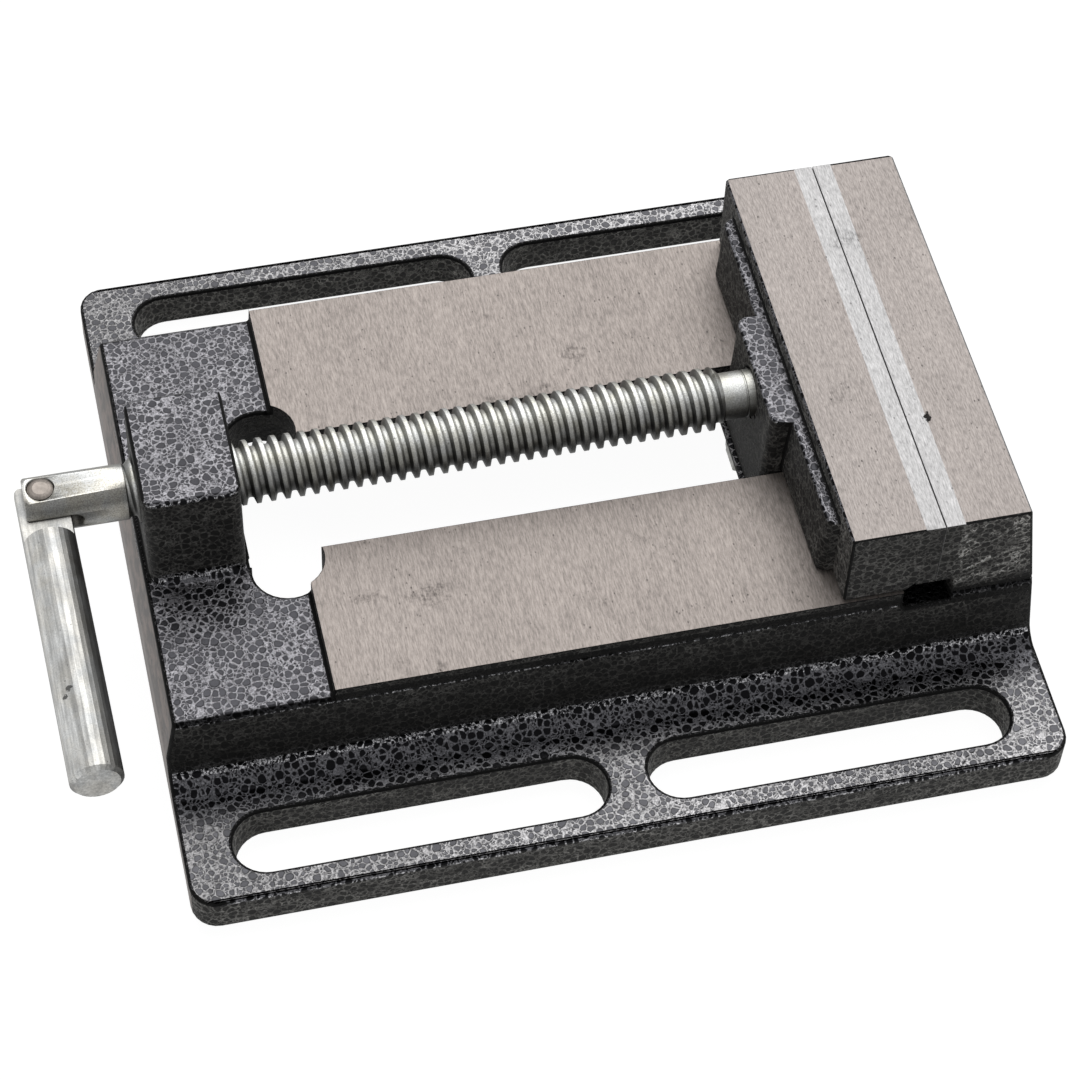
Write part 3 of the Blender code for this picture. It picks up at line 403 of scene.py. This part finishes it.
def painted_shade_wall_tones(f):
    """Tones of the net and of its cells on walls: uneven, and darkened as painted shade, less so on the
    jaws and flanges.
    """
    jaw = f.ramp(f.z, *RAIL_TO_JAW)
    moving = f.product(jaw, f.ramp(f.x, *MOVING_JAW))
    fixed = f.product(jaw, f.ramp(f.x, *FIXED_JAW))
    front = f.product(fixed, f.ramp(f.y, *FIXED_JAW_FRONT))
    grey = f.bands(f.z, (0, 0.46), (8, 0.42), (11, 0.035), (17, 0.07), (24, 0.13), (52, 0.15))
    brighter = f.total(1.0, f.product(moving, 0.9), f.product(fixed, 0.4), f.product(front, 2.4))
    rough = f.ramp(f.noise(4.0, 2.0, 0.6, f.stretched((0.5, 1.0, 1.6))), 0.35, 0.65, 0.6, 1.4, False)
    streaks = f.noise(1.6, 3.0, 0.6, f.slanted(STREAK_ANGLE, (0.22, 0.4, 1.0)))
    streaked = f.product(rough, f.ramp(streaks, 0.40, 0.60, 0.45, 1.9))
    flecks = f.noise(0.9, 3.0, 0.65, f.stretched((0.6, 1.0, 1.3), (2, 8, 5)))
    uneven = f.product(f.between(fixed, rough, streaked), f.ramp(flecks, 0.38, 0.62, 0.70, 1.45))
    light = f.vector("SCALE", srgb(255, 253, 248), scale=f.product(grey, brighter, uneven))
    dark = f.mix(f.ramp(f.z, *WALL_TO_FLANGE), srgb(25, 25, 25), srgb(50, 50, 50))
    return light, f.mix(moving, dark, srgb(45, 45, 45))


def hammered_paint(f, up):
    """Colour, roughness, height and metal of paint with dark sunken cells in a light net, whose tones are
    darkened on walls as painted shade.
    """
    cells, cell_shade = cell_net(f)
    grain = f.noise(0.28, 2.0, 0.6)
    specks = f.noise(0.42, 3.0, 0.7, f.stretched((1, 1, 1), (9, 2, 4)))
    patch = f.noise(6.0, 2.0, 0.5)
    wall = f.ramp(up, 0.30, 0.10)
    upper_light, upper_dark = upper_tones(f, up, specks)
    wall_light, wall_dark = painted_shade_wall_tones(f)
    # Painted shade: walls take the darker wall tones, upper faces the lighter ones
    light = f.mix(wall, upper_light, wall_light)
    dark = f.mix(wall, upper_dark, wall_dark)
    shade = f.product(
        f.ramp(grain, 0.3, 0.7, 0.60, 1.3, False), f.ramp(patch, 0.3, 0.7, 0.86, 1.12, False),
        f.ramp(specks, 0.36, 0.56, 0.45, 1.15),
    )
    light = f.vector("SCALE", light, scale=shade)
    dark = f.vector("SCALE", dark, scale=f.product(cell_shade, f.ramp(grain, 0.3, 0.7, 0.85, 1.15, False)))
    colour = f.mix(f.product(cells, f.ramp(wall, 0.0, 1.0, 1.0, 0.88)), light, dark)
    roughness = f.between(wall, f.between(cells, 0.40, 0.22), 0.65)
    height = f.math("SUBTRACT", f.product(grain, 0.12), cells)
    metallic = f.product(f.math("SUBTRACT", 1.0, wall), 0.85)
    return colour, roughness, height, metallic


def cast_iron(name, ground_above):
    """Painted iron. Its level faces above this height and the base's left end are ground bare."""
    f = Finish(name)
    normal_x, _, up = facing(f)
    paint, paint_roughness, paint_height, paint_metal = hammered_paint(f, up)
    tone = f.mix(f.ramp(f.z, *RAIL_TO_JAW_TOP), srgb(153, 145, 140), srgb(157, 150, 146))
    wedge = f.noise(2.6, 2.0, 0.5, f.stretched((1.0, 0.12, 0.6)))
    end = f.product(
        f.ramp(normal_x, -0.955, -0.975), f.ramp(f.x, *LEFT_FACE),
        f.ramp(f.total(f.z, f.product(wedge, 14.0)), *LEFT_FACE_TOP),
    )
    rust = f.noise(3.0, 3.0, 0.65, f.stretched((1.0, 0.6, 1.0), (4, 4, 9)))
    tone = f.mix(end, tone, f.mix(f.ramp(rust, 0.40, 0.62), srgb(84, 79, 77), srgb(118, 107, 101)))
    bare, bare_roughness, bare_height = ground_iron(f, tone)
    top = f.product(
        f.ramp(up, 0.90, LEVEL), f.ramp(f.z, ground_above, ground_above + 0.05), f.ramp(f.x, *BED_START)
    )
    ground = f.math("MAXIMUM", top, end)
    # Painted shadow: the paint is darkened in the groove under the jaw plates and on the ledge along the
    # body wall under the rails
    groove = f.product(
        f.ramp(f.x, *JAW_GROOVE), f.ramp(f.z, *JAW_GROOVE_FLOOR), f.ramp(f.z, *JAW_GROOVE_ROOF)
    )
    ledge = f.product(
        f.ramp(f.math("ABSOLUTE", f.y), *LEDGE_REACH), f.ramp(f.z, *LEDGE_BOTTOM), f.ramp(f.z, *LEDGE_TOP)
    )
    shadow = f.ramp(f.math("MAXIMUM", groove, ledge), 0.0, 1.0, 1.0, 0.15)
    paint = f.vector("SCALE", paint, scale=shadow)
    colour = f.mix(ground, paint, bare)
    roughness = f.between(ground, paint_roughness, bare_roughness)
    metallic = f.between(ground, paint_metal, 0.65)
    height = f.between(ground, f.product(paint_height, 0.07), f.product(bare_height, 0.03))
    return f.close(colour, roughness, metallic, f.bump(height, 1.0), 0.15)


def edge_painted_shade(name):
    """Paint on a rounded edge, drawn near black as painted shade, with specks of the net beside its upper
    face and bright painted glints along the ledge at the fixed jaw.
    """
    f = Finish(name)
    up = facing(f)[2]
    specks = f.noise(0.55, 3.0, 0.6)
    under_rail = f.product(
        f.ramp(f.z, *RAIL_EDGE_BOTTOM), f.ramp(f.z, *RAIL_EDGE_TOP), f.ramp(f.x, *RAIL_EDGE)
    )
    painted_ledge_glint = f.product(under_rail, f.ramp(f.x, *JAW_EDGE))
    # Bright painted glints along the ledge at the fixed jaw; fewer specks under the rails and above the
    # boss top
    shift = f.total(
        f.ramp(up, 0.65, 1.0, -0.25, 0.06), f.product(f.ramp(f.z, *BOSS_TOP), -0.12),
        f.product(under_rail, -0.5), f.product(painted_ledge_glint, 0.58),
    )
    light_tone = f.mix(painted_ledge_glint, srgb(110, 109, 111), srgb(190, 190, 190))
    tone = f.mix(f.ramp(f.total(specks, shift), 0.56, 0.68), srgb(20, 20, 20), light_tone)
    return f.close(tone, f.ramp(specks, 0.3, 0.7, 0.5, 0.7), 0.0, f.bump(specks, 0.05), 0.1)


def ground_plate(name):
    """A jaw plate: ground on top and on its jaw face, with painted ends."""
    f = Finish(name)
    _, normal_y, up = facing(f)
    paint, paint_roughness, paint_height, _ = hammered_paint(f, up)
    bare, bare_roughness, bare_height = ground_iron(f, srgb(172, 171, 171))
    end = f.ramp(f.math("ABSOLUTE", normal_y), 0.6, 0.8)
    colour = f.mix(end, bare, paint)
    roughness = f.between(end, bare_roughness, paint_roughness)
    metallic = f.between(end, 0.75, 0.0)
    height = f.between(end, f.product(bare_height, 0.03), f.product(paint_height, 0.05))
    return f.close(colour, roughness, metallic, f.bump(height, 1.0), 0.15)


# Zinc
def zinc(name, lie):
    """Dull zinc: on the screw's head, on its thread and journal, or on the handle's bar along Y, with
    painted highlights, reflections and shade in its colour.
    """
    f = Finish(name)
    normal_x, normal_y, up = facing(f, "Normal")
    clouds = f.noise(5.0, 4.0, 0.6)
    grain = f.noise(0.30, 3.0, 0.7)
    pits = f.cells(1.3, f.wobbled(0.3, 1.0))["Distance"]
    pit = f.product(f.ramp(pits, 0.06, 0.16, 1.0, 0.0), f.ramp(f.noise(4.0), 0.5, 0.6))
    shade = f.total(f.ramp(clouds, 0.3, 0.7, -0.10, 0.10, False), 1.0)
    if lie == "handle":
        # Painted highlights and shade: bands of brightness by the way the bar's face turns, with a flat
        # grey on its ends
        turn = f.math("ARCTAN2", up, f.product(normal_x, -1.0))
        light = f.bands(
            turn, (-0.6, 0.25), (0.1, 0.45), (0.45, 0.86), (1.05, 0.84), (1.35, 0.50), (1.7, 0.80),
            (2.1, 0.38), (2.5, 0.15), (3.1, 0.12)
        )
        flat = f.ramp(f.math("ABSOLUTE", normal_y), 0.75, 0.9)
        light = f.between(flat, light, 0.62)
        streaks = f.noise(0.7, 3.0, 0.6, f.stretched((1.0, 0.05, 1.0)))
        patches = f.noise(2.6, 3.0, 0.6, f.stretched((1.0, 0.35, 1.0)))
        light = f.product(light, f.ramp(streaks, 0.3, 0.7, 0.74, 1.24, False))
        light = f.product(light, f.ramp(patches, 0.3, 0.7, 0.8, 1.2, False))
        for place, reach in HANDLE_NICKS:
            light = f.product(light, f.ramp(mark_at(f, place, reach, 0.9), 0.1, 0.7, 1.0, 0.25))
        specks = f.ramp(grain, 0.3, 0.7, 0.80, 1.20, False)
        warm, cool = srgb(226, 224, 218), srgb(216, 217, 216)
    elif lie == "thread":
        # Painted highlights and shade: bands by the way the thread's face turns; the side of each ridge
        # facing -X darkened as a painted reflection, and the roots darkened as painted shade
        turn = f.math("ARCTAN2", up, f.product(normal_y, -1.0))
        light = f.bands(
            turn, (-1.6, 0.05), (-0.3, 0.10), (0.15, 0.22), (0.7, 0.52), (1.15, 1.15), (1.75, 1.2),
            (2.15, 0.60), (2.8, 0.30)
        )
        off_axis = f.math("SUBTRACT", f.z, SCREW_AXIS / MM)
        radius = f.math("SQRT", f.total(f.product(f.y, f.y), f.product(off_axis, off_axis)))
        painted_root_shade = f.ramp(radius, THREAD_RADIUS / MM - 0.25, (THREAD_RADIUS - THREAD_DEPTH) / MM + 0.2)
        painted_flank_reflection = f.ramp(normal_x, -0.35, -0.70, 1.0, 0.36)
        specks = f.ramp(grain, 0.3, 0.7, 0.62, 1.32, False)
        light = f.product(light, painted_flank_reflection, f.ramp(painted_root_shade, 0.0, 1.0, 1.0, 0.82, False))
        warm, cool = srgb(213, 212, 203), srgb(222, 223, 221)
    else:
        # Painted highlights and shade: bands by the way the head's face turns, with a flat grey on its end
        # faces
        turn = f.math("ARCTAN2", up, f.product(normal_y, -1.0))
        light = f.bands(
            turn, (-0.9, 0.20), (-0.3, 0.34), (0.1, 0.62), (0.42, 0.55), (0.62, 0.30), (1.05, 0.40),
            (1.3, 1.5), (1.8, 1.5), (2.0, 0.6), (2.6, 0.22)
        )
        flat = f.ramp(f.math("ABSOLUTE", normal_x), 0.75, 0.9)
        light = f.between(flat, light, 0.62)
        specks = f.ramp(grain, 0.3, 0.7, 0.50, 1.36, False)
        warm, cool = srgb(217, 213, 202), srgb(212, 213, 211)
    shade = f.product(f.math("SUBTRACT", shade, f.product(pit, 0.5)), specks, light)
    tone = f.mix(f.ramp(clouds, 0.35, 0.65), warm, cool)
    colour = f.vector("SCALE", tone, scale=shade)
    roughness = f.total(f.ramp(clouds, 0.3, 0.7, 0.36, 0.50), f.product(grain, 0.12))
    height = f.math("SUBTRACT", f.product(grain, 0.35), pit)
    return f.close(colour, roughness, 0.85, f.bump(height, 0.03))


def dull_steel(name, tone, rim_about=None):
    """Mottled steel with a fine grain. A rivet has a dark rim about its upright axis, at this x."""
    f = Finish(name)
    grain = f.noise(0.6, 3.0, 0.6)
    blotches = f.noise(1.8, 2.0, 0.6)
    shade = f.product(
        f.ramp(grain, 0.3, 0.7, 0.8, 1.2, False), f.ramp(blotches, 0.3, 0.7, 0.75, 1.15, False)
    )
    if rim_about is not None:
        across = f.vector("MULTIPLY", f.vector("SUBTRACT", f.place, (rim_about, 0, 0)), (1, 1, 0))
        radius = f.node("VectorMath", {0: across}, operation="LENGTH").outputs["Value"]
        shade = f.product(shade, f.ramp(radius, 1.9, 2.5, 1.0, 0.55))
    colour = f.vector("SCALE", tone, scale=shade)
    return f.close(colour, f.ramp(grain, 0.3, 0.7, 0.32, 0.5), 0.8, f.bump(grain, 0.02))


BASE_FINISH = cast_iron("hammered_paint_base", ground_above=29.5)
JAW_FINISH = cast_iron("hammered_paint_jaw", ground_above=49.5)
EDGE_FINISH = edge_painted_shade("edge_painted_shade")
PLATE_FINISH = ground_plate("ground_plate")
ZINC_FINISH = zinc("zinc_screw", "screw")
THREAD_FINISH = zinc("zinc_thread", "thread")
HANDLE_FINISH = zinc("zinc_handle", "handle")
BOLT_FINISH = dull_steel("zinc_bolt", srgb(150, 150, 146))
RIVET_FINISH = dull_steel("rivet", srgb(154, 146, 139), (SCREW_LOW.x + RIVET_INSET) / MM)
DARK_FINISH = dull_steel("black_oxide", srgb(58, 57, 60))

FINISHES = {
    "base_casting": BASE_FINISH,
    "moving_jaw_casting": JAW_FINISH,
    "keeper_plate": JAW_FINISH,
    "fixed_jaw_plate": PLATE_FINISH,
    "moving_jaw_plate": PLATE_FINISH,
    "handle_bar": HANDLE_FINISH,
    "handle_rivet": RIVET_FINISH,
    "lead_screw": ZINC_FINISH,
}
for node_name, node in NODES.items():
    finish = FINISHES.get(node_name)
    if not finish:
        finish = BOLT_FINISH if node_name.startswith("keeper") else DARK_FINISH
    node.data.materials.clear()
    node.data.materials.append(finish)


# Lead screw with its cut thread
def thread_piece():
    """A helical ribbon that closes on itself turn by turn, cut square at both ends."""
    crest = THREAD_RADIUS
    root = THREAD_RADIUS - THREAD_DEPTH
    profile = [
        (0.00, crest - 0.07 * MM), (0.07, crest), (0.50, crest), (0.93, crest), (1.00, crest - 0.07 * MM),
        (1.45, root + 0.20 * MM), (1.62, root + 0.04 * MM), (2.00, root), (2.38, root + 0.04 * MM),
        (2.55, root + 0.20 * MM),
    ]
    first = THREAD_START + THREAD_PHASE - 2 * PITCH
    steps = round((THREAD_END - THREAD_START + 4 * PITCH) / PITCH) * TURN_STEPS
    bm = bmesh.new()
    rows = []
    for i in range(steps + 1):
        angle = 2 * pi * i / TURN_STEPS
        row = []
        for offset, radius in profile:
            x = first + PITCH * i / TURN_STEPS + offset * MM
            limit = JOURNAL_RADIUS + 0.25 * MM + max(0.0, min(x - THREAD_START, THREAD_END - x))
            radius = min(radius, limit)
            y = -radius * cos(angle)
            z = SCREW_AXIS - radius * sin(angle)
            row.append(bm.verts.new((x, y, z)))
        rows.append(row)
    last = len(profile) - 1
    for i in range(steps):
        for k in range(last):
            bm.faces.new((rows[i][k], rows[i + 1][k], rows[i + 1][k + 1], rows[i][k + 1]))
        if i + TURN_STEPS + 1 <= steps:
            bm.faces.new(
                (rows[i][last], rows[i + 1][last], rows[i + TURN_STEPS + 1][0], rows[i + TURN_STEPS][0])
            )
    for x, side in ((THREAD_START, -1), (THREAD_END, 1)):
        everything = bm.verts[:] + bm.edges[:] + bm.faces[:]
        bmesh.ops.bisect_plane(
            bm, geom=everything, plane_co=(x, 0, 0), plane_no=(side, 0, 0), clear_outer=True
        )
        rim = [e for e in bm.edges if e.is_boundary and all(abs(v.co.x - x) < 1e-6 for v in e.verts)]
        bmesh.ops.holes_fill(bm, edges=rim, sides=0)
    return mesh_from(bm, "screw_thread", radians(60))


def turned_mesh(name, profile, steps=64):
    """A round piece about the screw's axis. Its (x, radius) points run from end to end."""
    bm = bmesh.new()
    rings = []
    for x, radius in profile:
        if radius == 0:
            rings.append([bm.verts.new((x, 0, SCREW_AXIS))])
            continue
        ring = []
        for i in range(steps):
            angle = 2 * pi * i / steps
            ring.append(bm.verts.new((x, radius * cos(angle), SCREW_AXIS + radius * sin(angle))))
        rings.append(ring)
    for lower, upper in zip(rings, rings[1:]):
        for i in range(steps):
            j = (i + 1) % steps
            if len(lower) == 1:
                bm.faces.new((lower[0], upper[i], upper[j]))
            elif len(upper) == 1:
                bm.faces.new((lower[i], lower[j], upper[0]))
            else:
                bm.faces.new((lower[i], lower[j], upper[j], upper[i]))
    return mesh_from(bm, name, radians(35))


def cut_with(target, cutter_mesh):
    """Subtracts a mesh from an object and keeps the result as its mesh."""
    cutter = new_object("cutter", cutter_mesh)
    step = target.modifiers.new("cut", "BOOLEAN")
    step.operation = "DIFFERENCE"
    step.solver = "EXACT"
    step.object = cutter
    graph = bpy.context.evaluated_depsgraph_get()
    made = bpy.data.meshes.new_from_object(target.evaluated_get(graph))
    target.modifiers.clear()
    bpy.data.objects.remove(cutter)
    target.data = made


def fork_slot_mesh(low_x, end_x):
    """The slot of the fork: flat, open at the left, and round at its end."""
    half = FORK_SLOT_HEIGHT / 2
    points = [(low_x, half), (low_x, -half)]
    points += [(end_x - half + half * sin(a), -half * cos(a)) for a in (pi * i / 16 for i in range(17))]
    bm = bmesh.new()
    front = [bm.verts.new((x, -2 * HEAD_RADIUS, SCREW_AXIS + z)) for x, z in points]
    back = [bm.verts.new((x, 2 * HEAD_RADIUS, SCREW_AXIS + z)) for x, z in points]
    bm.faces.new(front)
    bm.faces.new(list(reversed(back)))
    for i in range(len(points)):
        j = (i + 1) % len(points)
        bm.faces.new((front[i], back[i], back[j], front[j]))
    return mesh_from(bm, "fork_slot")


def upright_hole_mesh(x, radius):
    """The hole that the rivet passes through."""
    bm = bmesh.new()
    move = Matrix.Translation((x, 0, SCREW_AXIS))
    bmesh.ops.create_cone(
        bm, cap_ends=True, segments=32, radius1=radius, radius2=radius, depth=4 * HEAD_RADIUS, matrix=move
    )
    return mesh_from(bm, "hole")


def build_lead_screw():
    thread = new_object("screw_thread", thread_piece(), THREAD_FINISH)
    left = SCREW_LOW.x
    chamfer = 0.5 * MM
    profile = [
        (left, 0), (left, HEAD_RADIUS - chamfer), (left + 0.15 * MM, HEAD_RADIUS - 0.2 * MM),
        (left + chamfer, HEAD_RADIUS), (THREAD_START - 0.25 * MM, HEAD_RADIUS),
        (THREAD_START + 0.05 * MM, HEAD_RADIUS - 0.3 * MM), (THREAD_START + 0.05 * MM, 0),
    ]
    head = new_object("screw_head", turned_mesh("screw_head", profile))
    cut_with(head, fork_slot_mesh(left - 2 * MM, left + FORK_SLOT_DEPTH))
    cut_with(head, upright_hole_mesh(left + RIVET_INSET, RIVET_HOLE_RADIUS))
    head.data.materials.clear()
    head.data.materials.append(ZINC_FINISH)
    tip = SCREW_HIGH.x
    tip_chamfer = 1.0 * MM
    half_groove = 2.25 * MM
    ring = JOURNAL_RING
    profile = [
        (THREAD_END - 0.1 * MM, 0), (THREAD_END - 0.1 * MM, JOURNAL_RADIUS), (ring, JOURNAL_RADIUS),
        (ring + 0.15 * MM, JOURNAL_RADIUS - 0.15 * MM), (ring + 0.35 * MM, JOURNAL_RADIUS - 0.15 * MM),
        (ring + 0.5 * MM, JOURNAL_RADIUS), (GROOVE_X - half_groove, JOURNAL_RADIUS),
        (GROOVE_X - half_groove, GROOVE_RADIUS), (GROOVE_X + half_groove, GROOVE_RADIUS),
        (GROOVE_X + half_groove, JOURNAL_RADIUS), (tip - tip_chamfer, JOURNAL_RADIUS),
        (tip, JOURNAL_RADIUS - tip_chamfer), (tip, 0),
    ]
    journal = new_object("screw_journal", turned_mesh("screw_journal", profile), THREAD_FINISH)
    for piece in (thread, head, journal):
        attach(piece, "screw")
        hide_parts("lead_screw")


build_lead_screw()


# Castings and jaw plates, with the small round edges that their solids leave out
def is_ground(face):
    """Whether a face of a casting is a rail or a jaw top, whose edges stay crisp."""
    height = face.calc_center_median().z
    return face.normal.z > LEVEL and min(abs(height - RAIL_TOP), abs(height - JAW_TOP)) < 0.1 * MM


def is_seat(edge):
    """Whether an edge lies where a jaw plate is seated, and stays crisp so that no gap opens there."""
    reach = 0.3 * MM
    for seat in (JAW_SEAT, FIXED_HIGH.x):
        if all(abs(vert.co.x - seat) < reach for vert in edge.verts):
            return True
    return False


def weigh_edges(bm, radius):
    """Sets how much each edge is rounded: less beside a small or ground face, and not at all at a seat."""
    weight = bm.edges.layers.float.new("bevel_weight_edge")
    for edge in bm.edges:
        if len(edge.link_faces) != 2 or edge.calc_face_angle() < SHARP_ANGLE:
            continue
        width = min(face.calc_area() for face in edge.link_faces) / edge.calc_length()
        if width < NARROW_FACE or is_seat(edge):
            continue
        share = min(1.0, WIDTH_SHARE * width / radius)
        if any(is_ground(face) for face in edge.link_faces):
            share = min(share, GROUND_ROUNDING / radius)
        edge[weight] = share


def rounded_copy(node_name, name, finish, radius, move=None, edge_finish=None):
    """Stands for a CAD node: its shape with rounded edges, which may have a finish of their own."""
    mesh = NODES[node_name].data.copy()
    mesh.name = name
    bm = bmesh.new()
    bm.from_mesh(mesh)
    bmesh.ops.remove_doubles(bm, verts=bm.verts, dist=0.05 * MM)
    bmesh.ops.dissolve_limit(bm, angle_limit=radians(1), verts=bm.verts, edges=bm.edges)
    if move:
        for vert in bm.verts:
            move(vert.co)
    weigh_edges(bm, radius)
    for face in bm.faces:
        if face.calc_center_median().z > BOSS_RIM and 0.05 < face.normal.z < LEVEL:
            face.material_index = 1 if edge_finish else 0
    bm.to_mesh(mesh)
    bm.free()
    piece = new_object(name, mesh, finish)
    edges = piece.modifiers.new("edges", "BEVEL")
    edges.width = radius
    edges.segments = 3
    edges.limit_method = "WEIGHT"
    edges.use_clamp_overlap = False
    edges.miter_outer = "MITER_ARC"
    if edge_finish:
        mesh.materials.append(edge_finish)
        edges.material = 1
        flat = piece.modifiers.new("flat", "WEIGHTED_NORMAL")
        flat.weight = 100
        flat.keep_sharp = True
    mesh.shade_smooth()
    mesh.set_sharp_from_angle(angle=SHARP_ANGLE)
    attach(piece, NODES[node_name]["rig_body"])
    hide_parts(node_name)


def seat_plate(back, face, seat):
    """Moves a plate's back onto its jaw and its working face a hair out, so that no wide gap shows."""
    hair = 0.05 * MM if face > back else -0.05 * MM

    def move(place):
        if abs(place.x - back) < 0.01 * MM:
            place.x = seat
        elif abs(place.x - face) < 0.01 * MM:
            place.x += hair
    return move


rounded_copy(
    "moving_jaw_plate", "moving_plate", PLATE_FINISH, PLATE_ROUNDING,
    seat_plate(PLATE_LOW.x, PLATE_HIGH.x, JAW_SEAT)
)
rounded_copy(
    "fixed_jaw_plate", "fixed_plate", PLATE_FINISH, PLATE_ROUNDING,
    seat_plate(FIXED_HIGH.x, FIXED_LOW.x, FIXED_HIGH.x + 0.25 * MM)
)
rounded_copy(
    "base_casting", "base_iron", BASE_FINISH, IRON_ROUNDING,
    edge_finish=EDGE_FINISH
)
rounded_copy(
    "moving_jaw_casting", "moving_jaw_iron", JAW_FINISH, JAW_ROUNDING,
    edge_finish=EDGE_FINISH
)


# Camera at the photograph's viewing angle
def build_camera():
    azimuth, elevation, roll = -0.2695, 0.925, 0.0558
    distance = 689.70 * MM
    target = Vector((6.92, -8.80, 20.0)) * MM
    back = Vector((sin(azimuth) * cos(elevation), -cos(azimuth) * cos(elevation), sin(elevation)))
    level = (-back).cross(Vector((0, 0, 1))).normalized()
    upright = level.cross(-back)
    right = cos(roll) * level + sin(roll) * upright
    up = -sin(roll) * level + cos(roll) * upright
    data = bpy.data.cameras.new("camera")
    data.lens = 108.92
    data.sensor_width = 36.0
    data.shift_x = -0.0055
    data.shift_y = -0.0237
    data.clip_start = 10 * MM
    data.clip_end = 20
    camera = bpy.data.objects.new("camera", data)
    turn = Matrix((right, up, back)).transposed().to_4x4()
    camera.matrix_world = Matrix.Translation(target + back * distance) @ turn
    bpy.context.scene.collection.objects.link(camera)
    bpy.context.scene.camera = camera


# Floor and light
def shown_share(nodes, links):
    """1 for what the camera, a reflection or a clear material sees, and 0 for the light that bounces."""
    path = nodes.new("ShaderNodeLightPath")
    share = path.outputs["Is Camera Ray"]
    for name in ("Is Glossy Ray", "Is Transmission Ray"):
        step = nodes.new("ShaderNodeMath")
        step.operation = "MAXIMUM"
        links.new(share, step.inputs[0])
        links.new(path.outputs[name], step.inputs[1])
        share = step.outputs[0]
    return share


def build_floor():
    bm = bmesh.new()
    bmesh.ops.create_grid(bm, x_segments=1, y_segments=1, size=6.0)
    floor = new_object("floor", mesh_from(bm, "floor"))
    material = bpy.data.materials.new("floor")
    material.use_nodes = True
    nodes, links = material.node_tree.nodes, material.node_tree.links
    nodes.clear()
    share = shown_share(nodes, links)
    bounce = nodes.new("ShaderNodeBsdfDiffuse")
    bounce.inputs["Color"].default_value = (0.30, 0.30, 0.30, 1)
    seen = nodes.new("ShaderNodeBsdfDiffuse")
    seen.inputs["Color"].default_value = (0.20, 0.20, 0.20, 1)
    glow = nodes.new("ShaderNodeEmission")
    glow.inputs["Strength"].default_value = 0.96
    both = nodes.new("ShaderNodeAddShader")
    links.new(seen.outputs[0], both.inputs[0])
    links.new(glow.outputs[0], both.inputs[1])
    choice = nodes.new("ShaderNodeMixShader")
    links.new(share, choice.inputs[0])
    links.new(bounce.outputs[0], choice.inputs[1])
    links.new(both.outputs[0], choice.inputs[2])
    output = nodes.new("ShaderNodeOutputMaterial")
    links.new(choice.outputs[0], output.inputs[0])
    floor.data.materials.append(material)


def build_world(ambient):
    world = bpy.data.worlds.new("world")
    bpy.context.scene.world = world
    world.use_nodes = True
    nodes, links = world.node_tree.nodes, world.node_tree.links
    nodes.clear()
    share = shown_share(nodes, links)
    strength = nodes.new("ShaderNodeMapRange")
    strength.inputs["To Min"].default_value = ambient
    strength.inputs["To Max"].default_value = 1.0
    links.new(share, strength.inputs["Value"])
    background = nodes.new("ShaderNodeBackground")
    links.new(strength.outputs[0], background.inputs["Strength"])
    output = nodes.new("ShaderNodeOutputWorld")
    links.new(background.outputs[0], output.inputs[0])


def add_softbox(name, place, size, power):
    data = bpy.data.lights.new(name, "AREA")
    data.shape = "RECTANGLE"
    data.size, data.size_y = size
    data.energy = power
    lamp = bpy.data.objects.new(name, data)
    lamp.location = place
    aim = Vector((0, 0, 0.02)) - Vector(place)
    lamp.rotation_mode = "QUATERNION"
    lamp.rotation_quaternion = aim.to_track_quat("-Z", "Y")
    bpy.context.scene.collection.objects.link(lamp)


build_camera()
build_floor()
build_world(ambient=0.22)
add_softbox("softbox_top", place=(0.25, 0.75, 1.25), size=(1.5, 1.3), power=12)

bpy.context.scene.view_settings.view_transform = "Standard"
